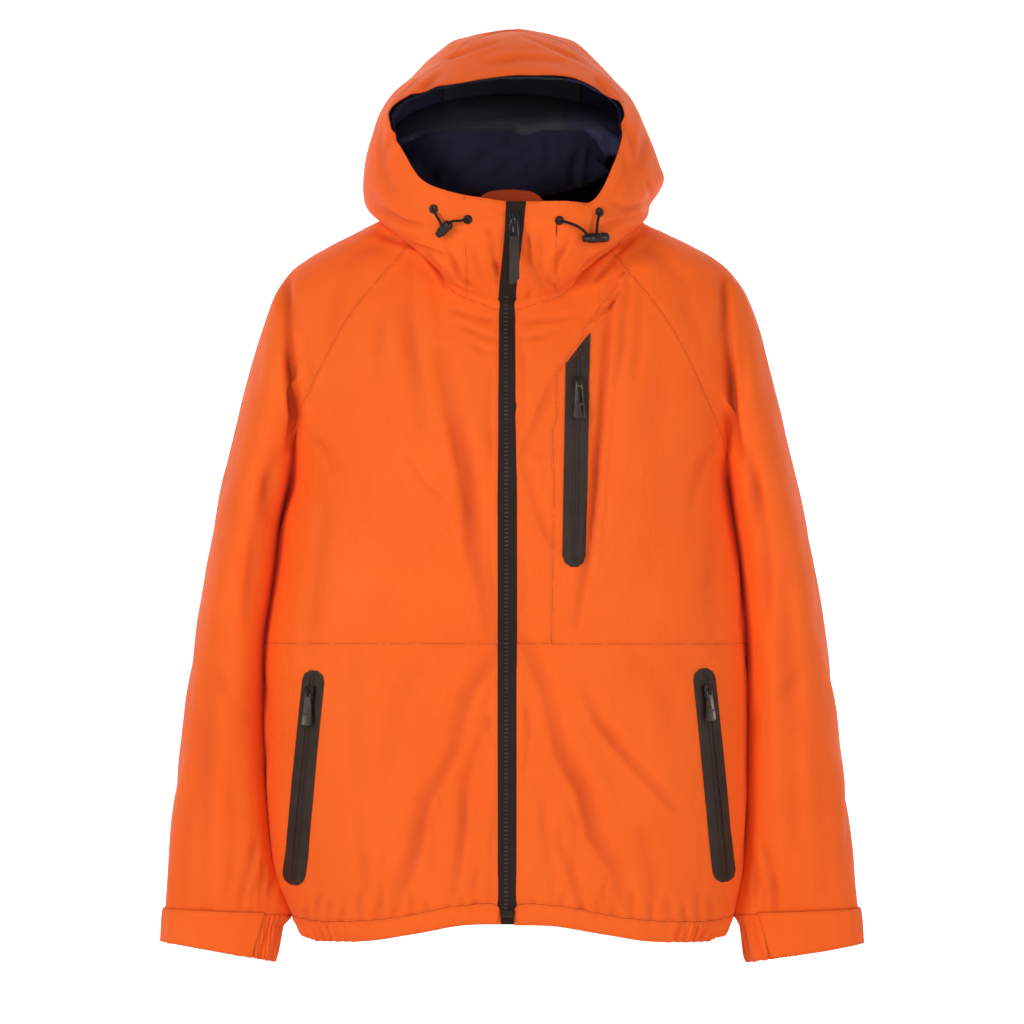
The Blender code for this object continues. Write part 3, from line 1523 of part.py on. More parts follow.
def build_chin_guard(skin):
    """The shell cloth's guard that stands behind the zip's top."""
    rows = []
    for k in range(4):
        row = []
        for c in range(9):
            share = c / 8
            x = mix(-32, 31, share)
            crown = 21 + 9.5 * math.sin(math.pi * share) ** 0.45
            z = mix(crown, 6, k / 3)
            place, _ = skin.at(x, min(z, 14))
            row.append(Vector((x, place.y + CLOTH + 0.9 + max(z - 14, 0) * 0.25, z)))
        rows.append(row)
    grid_solid("chin_guard", rows, ("shell_orange_deep", ORANGE_DEEP), 1.0)


# ---------------------------------------------------------------- build

def clear_scene():
    for existing in list(bpy.data.objects):
        bpy.data.objects.remove(existing, do_unlink=True)


def set_shared_normals(cloth):
    """One outward normal for every point, so that the panels' walls meet at their seams."""
    cloth.normals = {v: v.normal.copy() for v in cloth.mesh.verts}
    for side in SIDES:
        cloth.normals[cloth.points[("underarm", side)]] = Vector((0, 0, -1))


def main():
    clear_scene()
    cloth = build_cloth()
    set_shared_normals(cloth)
    orange = ("shell_orange", ORANGE)
    for name in (
        "front_upper_left", "front_upper_right", "front_inset", "front_lower_left", "front_lower_right",
        "back", "sleeve_left", "sleeve_right", "hood_left", "hood_right", "hood_gusset",
        "collar_front_left", "collar_front_right",
    ):
        panel_solid(cloth, name, orange)
    panel_solid(cloth, "main_zip_tape", ("zip_tape", TAPE))
    build_hem(cloth)
    build_cuffs(cloth)
    skin = Skin(cloth)
    hinges = {"main_zip": build_main_zip(skin)}
    for pocket in POCKETS:
        hinges["pocket_" + pocket.name] = build_pocket(skin, pocket)
    for side in SIDES:
        build_drawcord(skin, side)
    build_lining(cloth, skin)
    build_roll(cloth, skin)
    build_chin_guard(skin)
    return hinges


HINGES = main()
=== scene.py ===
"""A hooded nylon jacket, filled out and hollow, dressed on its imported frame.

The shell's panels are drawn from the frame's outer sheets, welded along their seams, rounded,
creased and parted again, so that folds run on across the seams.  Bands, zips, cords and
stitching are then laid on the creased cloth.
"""

import logging
import math
from dataclasses import dataclass, field, replace
from enum import Enum
from itertools import cycle
from typing import Callable, Iterable, Sequence

import bmesh
import bpy
import numpy as np
from mathutils import Matrix, Vector, noise
from mathutils.bvhtree import BVHTree
from mathutils.kdtree import KDTree


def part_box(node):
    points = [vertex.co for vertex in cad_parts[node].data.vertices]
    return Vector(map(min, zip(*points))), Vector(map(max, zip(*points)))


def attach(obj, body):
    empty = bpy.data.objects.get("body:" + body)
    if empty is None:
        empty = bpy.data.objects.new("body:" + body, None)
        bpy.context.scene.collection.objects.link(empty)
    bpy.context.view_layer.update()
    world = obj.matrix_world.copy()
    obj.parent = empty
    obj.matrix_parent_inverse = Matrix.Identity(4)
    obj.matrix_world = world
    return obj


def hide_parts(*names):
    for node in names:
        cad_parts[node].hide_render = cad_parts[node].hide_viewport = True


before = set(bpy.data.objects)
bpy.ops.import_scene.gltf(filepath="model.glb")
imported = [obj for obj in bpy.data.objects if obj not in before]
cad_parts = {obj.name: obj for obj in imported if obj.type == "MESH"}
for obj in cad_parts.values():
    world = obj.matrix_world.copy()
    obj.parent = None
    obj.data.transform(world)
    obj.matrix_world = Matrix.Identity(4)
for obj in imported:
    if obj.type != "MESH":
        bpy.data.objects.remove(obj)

LOG = logging.getLogger("jacket")
MM = 0.001
GARMENT = "garment"
SIDES = {"left": -1, "right": 1}
ROUNDINGS = 3  # how many times the cloth's coarse faces are quartered
FULL_SHADE = 9.0  # the rise of a fold, in millimetres, that gives its shading in full


# ---------------------------------------------------------------- node trees


class Tree:
    """A short way to add and link shader nodes."""

    def __init__(self, tree: bpy.types.NodeTree) -> None:
        """Wrap a node tree."""
        self.tree = tree

    def add(self, kind: str, **settings: object) -> bpy.types.Node:
        """Add a node.

        Args:
            kind: the node's type without its ShaderNode prefix.
            settings: properties to set on it.

        Returns:
            The new node.
        """
        node = self.tree.nodes.new("ShaderNode" + kind)
        for name, value in settings.items():
            setattr(node, name, value)
        return node

    def feed(self, target: bpy.types.NodeSocket, value: object) -> None:
        """Link a socket, or set a plain value, on a target socket."""
        if isinstance(value, bpy.types.NodeSocket):
            self.tree.links.new(value, target)
        else:
            target.default_value = value

    def math(self, operation: str, *values: object) -> bpy.types.NodeSocket:
        """A math node's result.

        Args:
            operation: the node's operation.
            values: sockets or numbers for its inputs.

        Returns:
            The output socket.
        """
        node = self.add("Math", operation=operation)
        for socket, value in zip(node.inputs, values):
            self.feed(socket, value)
        return node.outputs[0]

    def mix(self, share: object, first: object, second: object) -> bpy.types.NodeSocket:
        """A colour between two, by a share.

        Args:
            share: socket or number, 0 to 1.
            first: the colour at 0.
            second: the colour at 1.

        Returns:
            The colour socket.
        """
        node = self.add("Mix", data_type="RGBA")
        self.feed(node.inputs[0], share)
        self.feed(node.inputs[6], first)
        self.feed(node.inputs[7], second)
        return node.outputs[2]

    def ramp(
        self, value: object, low: float, high: float, start: float = 0.0, end: float = 1.0
    ) -> bpy.types.NodeSocket:
        """A value mapped from one range to another, kept inside it.

        Args:
            value: the socket to map.
            low: the value that gives start.
            high: the value that gives end.
            start: the result at low.
            end: the result at high.

        Returns:
            The output socket.
        """
        node = self.add("MapRange")
        self.feed(node.inputs[0], value)
        for socket, number in zip(node.inputs[1:5], (low, high, start, end)):
            socket.default_value = number
        return node.outputs[0]


def new_group(
    name: str, inputs: Sequence[tuple[str, float]], outputs: Sequence[str]
) -> tuple[bpy.types.NodeTree, Tree, bpy.types.Node, bpy.types.Node]:
    """Start a shader node group with named sockets.

    Args:
        name: the group's name.
        inputs: name and default of each number that goes in.
        outputs: name of each number that comes out.

    Returns:
        The group, its Tree, its input node and its output node.
    """
    group = bpy.data.node_groups.new(name, "ShaderNodeTree")
    for label, default in inputs:
        socket = group.interface.new_socket(label, in_out="INPUT", socket_type="NodeSocketFloat")
        socket.default_value = default
    for label in outputs:
        group.interface.new_socket(label, in_out="OUTPUT", socket_type="NodeSocketFloat")
    source = group.nodes.new("NodeGroupInput")
    sink = group.nodes.new("NodeGroupOutput")
    return group, Tree(group), source, sink


class Effects:
    """The shared effects: weave, soft wear, and the lines that follow seams."""

    def __init__(self) -> None:
        """Build each group once."""
        self.weave = self.build_weave()
        self.shade = self.build_shade()
        self.seam = self.build_seam()

    def build_weave(self) -> bpy.types.NodeTree:
        """Crossed threads with uneven thickness.

        Returns:
            The group, giving a height and a mask.
        """
        group, tree, source, sink = new_group(
            "Threads", [("Thread", 0.0006), ("Unevenness", 0.4)], ["Height", "Mask"]
        )
        place = tree.add("TexCoord").outputs["Object"]
        split = tree.add("SeparateXYZ")
        tree.feed(split.inputs[0], place)
        turns = tree.math("DIVIDE", math.tau, source.outputs["Thread"])
        wander = tree.add("TexNoise")
        tree.feed(wander.inputs["Vector"], place)
        wander.inputs["Scale"].default_value = 380.0
        wander.inputs["Detail"].default_value = 3.0
        strength = tree.math("MULTIPLY", source.outputs["Unevenness"], 6.0)
        shift = tree.math("MULTIPLY", wander.outputs[0], strength)
        aside = tree.math("ADD", split.outputs["X"], split.outputs["Y"])
        warp = tree.math("SINE", tree.math("ADD", tree.math("MULTIPLY", aside, turns), shift))
        weft = tree.math("SINE", tree.math("ADD", tree.math("MULTIPLY", split.outputs["Z"], turns), shift))
        height = tree.math("MAXIMUM", warp, weft)
        tree.feed(sink.inputs["Height"], height)
        tree.feed(sink.inputs["Mask"], tree.ramp(height, -0.5, 1.0))
        return group

    def build_shade(self) -> bpy.types.NodeTree:
        """Slow colour changes and small crumples, as in handled cloth.

        Returns:
            The group, giving a mask and a height.
        """
        group, tree, source, sink = new_group(
            "Handling", [("Patch", 9.0), ("Crumple", 42.0)], ["Mask", "Height"]
        )
        place = tree.add("TexCoord").outputs["Object"]
        patch = tree.add("TexNoise")
        tree.feed(patch.inputs["Vector"], place)
        tree.feed(patch.inputs["Scale"], source.outputs["Patch"])
        patch.inputs["Detail"].default_value = 3.0
        tall = tree.add("Mapping")
        tree.feed(tall.inputs["Vector"], place)
        tall.inputs["Scale"].default_value = (1.0, 1.0, 0.45)
        crumple = tree.add("TexNoise")
        tree.feed(crumple.inputs["Vector"], tall.outputs[0])
        tree.feed(crumple.inputs["Scale"], source.outputs["Crumple"])
        crumple.inputs["Detail"].default_value = 2.0
        crumple.inputs["Roughness"].default_value = 0.4
        fine = tree.add("TexNoise")
        tree.feed(fine.inputs["Vector"], tall.outputs[0])
        tree.feed(fine.inputs["Scale"], tree.math("MULTIPLY", source.outputs["Crumple"], 2.1))
        fine.inputs["Detail"].default_value = 1.0
        crisp = tree.math("ABSOLUTE", tree.math("SUBTRACT", fine.outputs[0], 0.5))
        height = tree.math("SUBTRACT", crumple.outputs[0], tree.math("MULTIPLY", crisp, 0.9))
        tree.feed(sink.inputs["Mask"], tree.ramp(patch.outputs[0], 0.3, 0.7))
        tree.feed(sink.inputs["Height"], height)
        return group

    def build_seam(self) -> bpy.types.NodeTree:
        """A seam's groove and its row of stitches, from the cloth's own distances.

        Returns:
            The group, giving the groove, the stitches and a height.
        """
        group, tree, source, sink = new_group(
            "Seam", [("Groove", 0.0009), ("Stitch line", 0.0022), ("Stitch", 0.0028)],
            ["Groove", "Stitches", "Height"],
        )
        gap = tree.add("Attribute", attribute_name="seam_gap").outputs["Fac"]
        run = tree.add("Attribute", attribute_name="seam_run").outputs["Fac"]
        kind = tree.add("Attribute", attribute_name="stitched").outputs["Fac"]
        groove = tree.math("SUBTRACT", 1.0, tree.math("DIVIDE", gap, source.outputs["Groove"]))
        groove = tree.math("MAXIMUM", groove, 0.0)
        off = tree.math("ABSOLUTE", tree.math("SUBTRACT", gap, source.outputs["Stitch line"]))
        line = tree.ramp(off, 0.0002, 0.0006, 1.0, 0.0)
        step = tree.math("FRACT", tree.math("DIVIDE", run, source.outputs["Stitch"]))
        dash = tree.ramp(tree.math("ABSOLUTE", tree.math("SUBTRACT", step, 0.5)), 0.3, 0.42, 1.0, 0.0)
        stitches = tree.math("MULTIPLY", tree.math("MULTIPLY", line, dash), kind)
        tree.feed(sink.inputs["Groove"], groove)
        tree.feed(sink.inputs["Stitches"], stitches)
        sunk = tree.math("MULTIPLY", groove, -1.0)
        valley = tree.math("MULTIPLY", tree.math("MULTIPLY", line, kind), -0.35)
        raised = tree.math("MULTIPLY", stitches, 0.7)
        tree.feed(sink.inputs["Height"], tree.math("ADD", tree.math("ADD", sunk, valley), raised))
        return group


Colour = tuple[float, float, float]


def rgba(colour: Colour) -> tuple[float, float, float, float]:
    """A colour with full alpha."""
    return (*colour, 1.0)


def start_material(name: str) -> tuple[bpy.types.Material, Tree, bpy.types.Node]:
    """A new material with a Principled shader.

    Args:
        name: the material's name.

    Returns:
        The material, its Tree and its shader.
    """
    made = bpy.data.materials.new(name)
    made.use_nodes = True
    return made, Tree(made.node_tree), made.node_tree.nodes["Principled BSDF"]


def set_bump(tree: Tree, shader: bpy.types.Node, height: bpy.types.NodeSocket) -> None:
    """Give a shader a relief, its height in metres."""
    bump = tree.add("Bump")
    bump.inputs["Strength"].default_value = 1.0
    bump.inputs["Distance"].default_value = 1.0
    tree.feed(bump.inputs["Height"], height)
    tree.feed(shader.inputs["Normal"], bump.outputs[0])


@dataclass(frozen=True)
class Cloth:
    """A woven finish with threads, soft patches, small crumples and seams, with painted shade in its folds'
    troughs and a painted highlight on their ridges.
    """

    name: str
    slot: str
    light: Colour
    dark: Colour
    roughness: float = 0.62
    sheen: float = 0.04
    thread: float = 0.0007
    thread_height: float = 0.00004
    crumple_height: float = 0.0009
    seam_height: float = 0.00018
    seam_shade: Colour = (0.56, 0.058, 0.007)
    # painted shade: the colours that a fold's trough, and its deepest part, are darkened to
    painted_fold_shade: Colour = (0.60, 0.058, 0.006)
    painted_fold_shadow: Colour = (0.26, 0.022, 0.003)
    specular: float = 0.2
    seams: bool = True

    def build(self, effects: Effects) -> bpy.types.Material:
        """Make the material.

        Args:
            effects: the shared groups.

        Returns:
            The finished material.
        """
        made, tree, shader = start_material(self.name)
        weave = tree.add("Group", node_tree=effects.weave)
        weave.inputs["Thread"].default_value = self.thread
        shade = tree.add("Group", node_tree=effects.shade)
        colour = tree.mix(shade.outputs["Mask"], rgba(self.dark), rgba(self.light))
        # painted shade: the colour darkens in the folds' troughs, by the fold depth that the cloth stores as
        # "hollow"
        depth = tree.add("Attribute", attribute_name="hollow").outputs["Fac"]
        colour = tree.mix(tree.ramp(depth, -0.45, 0.0, 0.62, 0.0), colour, rgba(self.painted_fold_shade))
        colour = tree.mix(tree.ramp(depth, -1.1, -0.45, 0.8, 0.0), colour, rgba(self.painted_fold_shadow))
        # painted highlight: the colour lightens on the folds' ridges
        ridge = rgba(tuple(min(c * 1.25, 0.98) for c in self.light))
        colour = tree.mix(tree.ramp(depth, 0.02, 0.35, 0.0, 0.25), colour, ridge)
        between = rgba(tuple(c * 0.82 for c in self.dark))
        colour = tree.mix(tree.ramp(weave.outputs["Mask"], 0.0, 1.0, 0.16, 0.0), colour, between)
        height = tree.math("MULTIPLY", weave.outputs["Height"], self.thread_height)
        crumple = tree.math("MULTIPLY", shade.outputs["Height"], self.crumple_height)
        height = tree.math("ADD", height, crumple)
        if self.seams:
            seam = tree.add("Group", node_tree=effects.seam)
            shadow = tree.math("MULTIPLY", seam.outputs["Groove"], 0.75)
            colour = tree.mix(shadow, colour, rgba(self.seam_shade))
            thread = tree.math("MULTIPLY", seam.outputs["Stitches"], 0.3)
            colour = tree.mix(thread, colour, rgba(self.seam_shade))
            height = tree.math("ADD", height, tree.math("MULTIPLY", seam.outputs["Height"], self.seam_height))
        set_bump(tree, shader, height)
        tree.feed(shader.inputs["Base Color"], colour)
        rough = tree.ramp(shade.outputs["Mask"], 0.0, 1.0, self.roughness + 0.05, self.roughness - 0.04)
        tree.feed(shader.inputs["Roughness"], rough)
        shader.inputs["Sheen Weight"].default_value = self.sheen
        shader.inputs["Sheen Roughness"].default_value = 0.5
        shader.inputs["Specular IOR Level"].default_value = self.specular
        return made


@dataclass(frozen=True)
class Moulded:
    """A coated, moulded or metal finish with fine grain and rubbed patches."""

    name: str
    slot: str
    colour: Colour
    worn: Colour
    roughness: float = 0.45
    metallic: float = 0.0
    grain: float = 900.0
    grain_height: float = 0.00002
    coat: float = 0.0
    specular: float = 0.3

    def build(self, effects: Effects) -> bpy.types.Material:
        """Make the material.

        Args:
            effects: the shared groups.

        Returns:
            The finished material.
        """
        made, tree, shader = start_material(self.name)
        shade = tree.add("Group", node_tree=effects.shade)
        shade.inputs["Patch"].default_value = 60.0
        colour = tree.mix(shade.outputs["Mask"], rgba(self.colour), rgba(self.worn))
        tree.feed(shader.inputs["Base Color"], colour)
        grain = tree.add("TexNoise")
        tree.feed(grain.inputs["Vector"], tree.add("TexCoord").outputs["Object"])
        grain.inputs["Scale"].default_value = self.grain
        set_bump(tree, shader, tree.math("MULTIPLY", grain.outputs[0], self.grain_height))
        rough = tree.ramp(grain.outputs[0], 0.3, 0.7, self.roughness - 0.06, self.roughness + 0.08)
        tree.feed(shader.inputs["Roughness"], rough)
        shader.inputs["Metallic"].default_value = self.metallic
        shader.inputs["Coat Weight"].default_value = self.coat
        shader.inputs["Specular IOR Level"].default_value = self.specular
        return made


ORANGE = Cloth("shell nylon", "shell_orange", (0.975, 0.138, 0.0105), (0.935, 0.121, 0.0085))
# painted shade: the chin guard's orange is the shell's nylon made much darker, for the shade it sits in
# behind the zip's top
PAINTED_SHADE_GUARD_ORANGE = Cloth(
    "shell nylon guard in painted shade", "shell_orange_deep", (0.27, 0.026, 0.003), (0.22, 0.021, 0.002),
    crumple_height=0.0003, specular=0.1,
)
NAVY = Cloth(
    "navy lining", "lining_navy", (0.0165, 0.0155, 0.0370), (0.0115, 0.0110, 0.0260), roughness=0.9,
    sheen=0.03, thread=0.0011, thread_height=0.00008, crumple_height=0.0018, seam_shade=(0.004, 0.004, 0.010),
    painted_fold_shade=(0.0045, 0.0045, 0.011), painted_fold_shadow=(0.002, 0.002, 0.005), specular=0.12,
)
# painted light: a lighter copy of the navy lining for the hood's side walls, where the hood's brim keeps the
# lamps off
NAVY_WALL_PAINTED_LIGHT = replace(
    NAVY, name="navy lining wall in painted light", light=(0.0520, 0.0480, 0.1050), dark=(0.0400, 0.0370, 0.0830)
)
# the lining's black centre panel, its colour lifted well above its own black as painted light where the
# hood's brim keeps the lamps off
BLACK_WITH_PAINTED_LIGHT = replace(
    NAVY, name="black lining with painted light", slot="lining_black", light=(0.0700, 0.0650, 0.0800),
    dark=(0.0560, 0.0520, 0.0640), seam_shade=(0.005, 0.005, 0.006), painted_fold_shade=(0.006, 0.006, 0.007),
    painted_fold_shadow=(0.003, 0.003, 0.003),
)
TAPE = Cloth(
    "zip tape", "zip_tape", (0.0250, 0.0125, 0.0095), (0.0180, 0.0090, 0.0068), roughness=0.55, sheen=0.0,
    thread=0.0009, thread_height=0.00003, crumple_height=0.0002, seams=False, painted_fold_shade=(0.010, 0.005, 0.004),
    painted_fold_shadow=(0.006, 0.003, 0.002), specular=0.14,
)
CORD = Cloth(
    "braided cord", "cord_black", (0.0150, 0.0095, 0.0085), (0.008, 0.0055, 0.005), roughness=0.75,
    sheen=0.08, thread=0.0009, thread_height=0.00016, crumple_height=0.0001, seams=False,
    painted_fold_shade=(0.006, 0.004, 0.004),
    painted_fold_shadow=(0.004, 0.003, 0.003), specular=0.2,
)
BAND = Moulded(
    "welded band", "welded_band", (0.030, 0.0175, 0.0125), (0.041, 0.0250, 0.0180), 0.5, grain_height=0.00003,
    specular=0.2,
)
STRIP = Moulded(
    "coated strip", "zip_tape", (0.024, 0.014, 0.010), (0.032, 0.019, 0.0135), 0.46, specular=0.22
)
COIL = Moulded("zip coil", "gunmetal", (0.085, 0.062, 0.052), (0.030, 0.020, 0.016), 0.4)
METAL = Moulded("dark coated metal", "gunmetal", (0.022, 0.016, 0.013), (0.045, 0.036, 0.030), 0.36, 0.6)
# painted highlight: the pocket pulls' metal is lighter than the other metal, standing for the light on their
# frames' edges, with rubbed patches as on the others
PAINTED_HIGHLIGHT_METAL = Moulded("worn coated metal with painted highlight", "gunmetal", (0.070, 0.056, 0.046), (0.13, 0.105, 0.088), 0.34, 0.75)
GLOSS = Moulded(
    "dark glossy metal", "gunmetal", (0.008, 0.0065, 0.006), (0.014, 0.011, 0.010), 0.26, 0.3, coat=0.3
)
RUBBER = Moulded("pull rubber", "pull_rubber", (0.030, 0.019, 0.016), (0.040, 0.026, 0.022), 0.55)
PLASTIC = Moulded(
    "lock plastic", "lock_plastic", (0.012, 0.009, 0.0085), (0.022, 0.016, 0.015), 0.34, coat=0.15
)


class Finishes:
    """Builds each finish once and hands it out."""

    def __init__(self) -> None:
        """Start with the shared effects and no materials."""
        self.effects = Effects()
        self.made: dict[str, bpy.types.Material] = {}

    def material(self, finish: Cloth | Moulded) -> bpy.types.Material:
        """The one material of a finish."""
        if finish.name not in self.made:
            self.made[finish.name] = finish.build(self.effects)
        return self.made[finish.name]

    def dress(
        self, piece: bpy.types.Object, finish: Cloth | Moulded, nodes: Sequence[str], body: str = GARMENT
    ) -> bpy.types.Object:
        """Give a piece its finish and its body, and hide the frame's solids that it stands for.

        Args:
            piece: the finished piece.
            finish: what it is made of.
            nodes: the frame's solids that it stands for.
            body: the body that it moves with.

        Returns:
            The same piece.
        """
        piece.data.materials.clear()
        piece.data.materials.append(self.material(finish))
        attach(piece, body)
        if nodes:
            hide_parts(*nodes)
        LOG.info("%s: %s", piece.name, finish.name)
        return piece


def link_mesh(name: str, mesh: bmesh.types.BMesh, smooth: float) -> bpy.types.Object:
    """Turn a bmesh into a linked object at the origin.

    Args:
        name: the object's name.
        mesh: the shape, freed here.
        smooth: the angle in degrees over which an edge stays sharp.

    Returns:
        The object.
    """
    data = bpy.data.meshes.new(name)
    mesh.to_mesh(data)
    mesh.free()
    data.shade_smooth()
    data.set_sharp_from_angle(angle=math.radians(smooth))
    piece = bpy.data.objects.new(name, data)
    bpy.context.scene.collection.objects.link(piece)
    return piece


# ---------------------------------------------------------------- cloth


class Side(Enum):
    """The side of the garment that a crease is drawn on."""

    FRONT = "front"
    BACK = "back"
    OUTER_LEFT = "outer left"
    OUTER_RIGHT = "outer right"


@dataclass(frozen=True)
class Crease:
    """A soft fold along a line of places, each one across and up, in millimetres.

    A positive rise is a ridge and a negative one a trough.  Lean steepens one flank.
    """

    line: tuple[tuple[float, float], ...]
    width: float
    rise: float
    side: Side = Side.FRONT
    lean: float = 0.0

    def heights(self, across: np.ndarray, up: np.ndarray) -> np.ndarray:
        """How far the crease moves each point of the cloth.

        Args:
            across: the points' first coordinates, in millimetres.
            up: the points' heights, in millimetres.

        Returns:
            The rise at each point, in millimetres.
        """
        best = np.full(across.shape, 1e9)
        signed = np.zeros(across.shape)
        share = np.zeros(across.shape)
        lengths = [math.dist(a, b) for a, b in zip(self.line, self.line[1:])]
        total, done = sum(lengths), 0.0
        for (a, b), length in zip(zip(self.line, self.line[1:]), lengths):
            dx, dz = (b[0] - a[0]) / length, (b[1] - a[1]) / length
            px, pz = across - a[0], up - a[1]
            t = px * dx + pz * dz
            inside = np.clip(t, 0, length)
            ex, ez = px - dx * inside, pz - dz * inside
            distance = np.hypot(ex, ez)
            side = np.where(px * dz - pz * dx >= 0, 1.0, -1.0)
            closer = distance < best
            best = np.where(closer, distance, best)
            signed = np.where(closer, side * distance, signed)
            share = np.where(closer, (done + t) / total, share)
            done += length
        wobble = 0.22 * self.width * np.sin(share * 5.3 + self.line[0][0] * 0.1)
        d = signed + wobble
        flank = np.where(d > 0, 1 + self.lean, 1 - self.lean) * self.width
        core = np.exp(-((d / flank) ** 2))
        shoulder = np.exp(-(((np.abs(d) - 1.9 * flank) / flank) ** 2))
        ends = np.clip(share, 0, 1)
        taper = np.sin(np.pi * np.clip(0.06 + 0.88 * ends, 0, 1)) ** 0.6
        uneven = 0.8 + 0.2 * np.sin(share * 9.1 + self.line[0][1] * 0.07)
        beyond = np.maximum(np.maximum(-share, share - 1), 0) * total
        fade = np.exp(-((beyond / (self.width * 1.2)) ** 2))
        return self.rise * taper * uneven * fade * (core - 0.3 * shoulder)


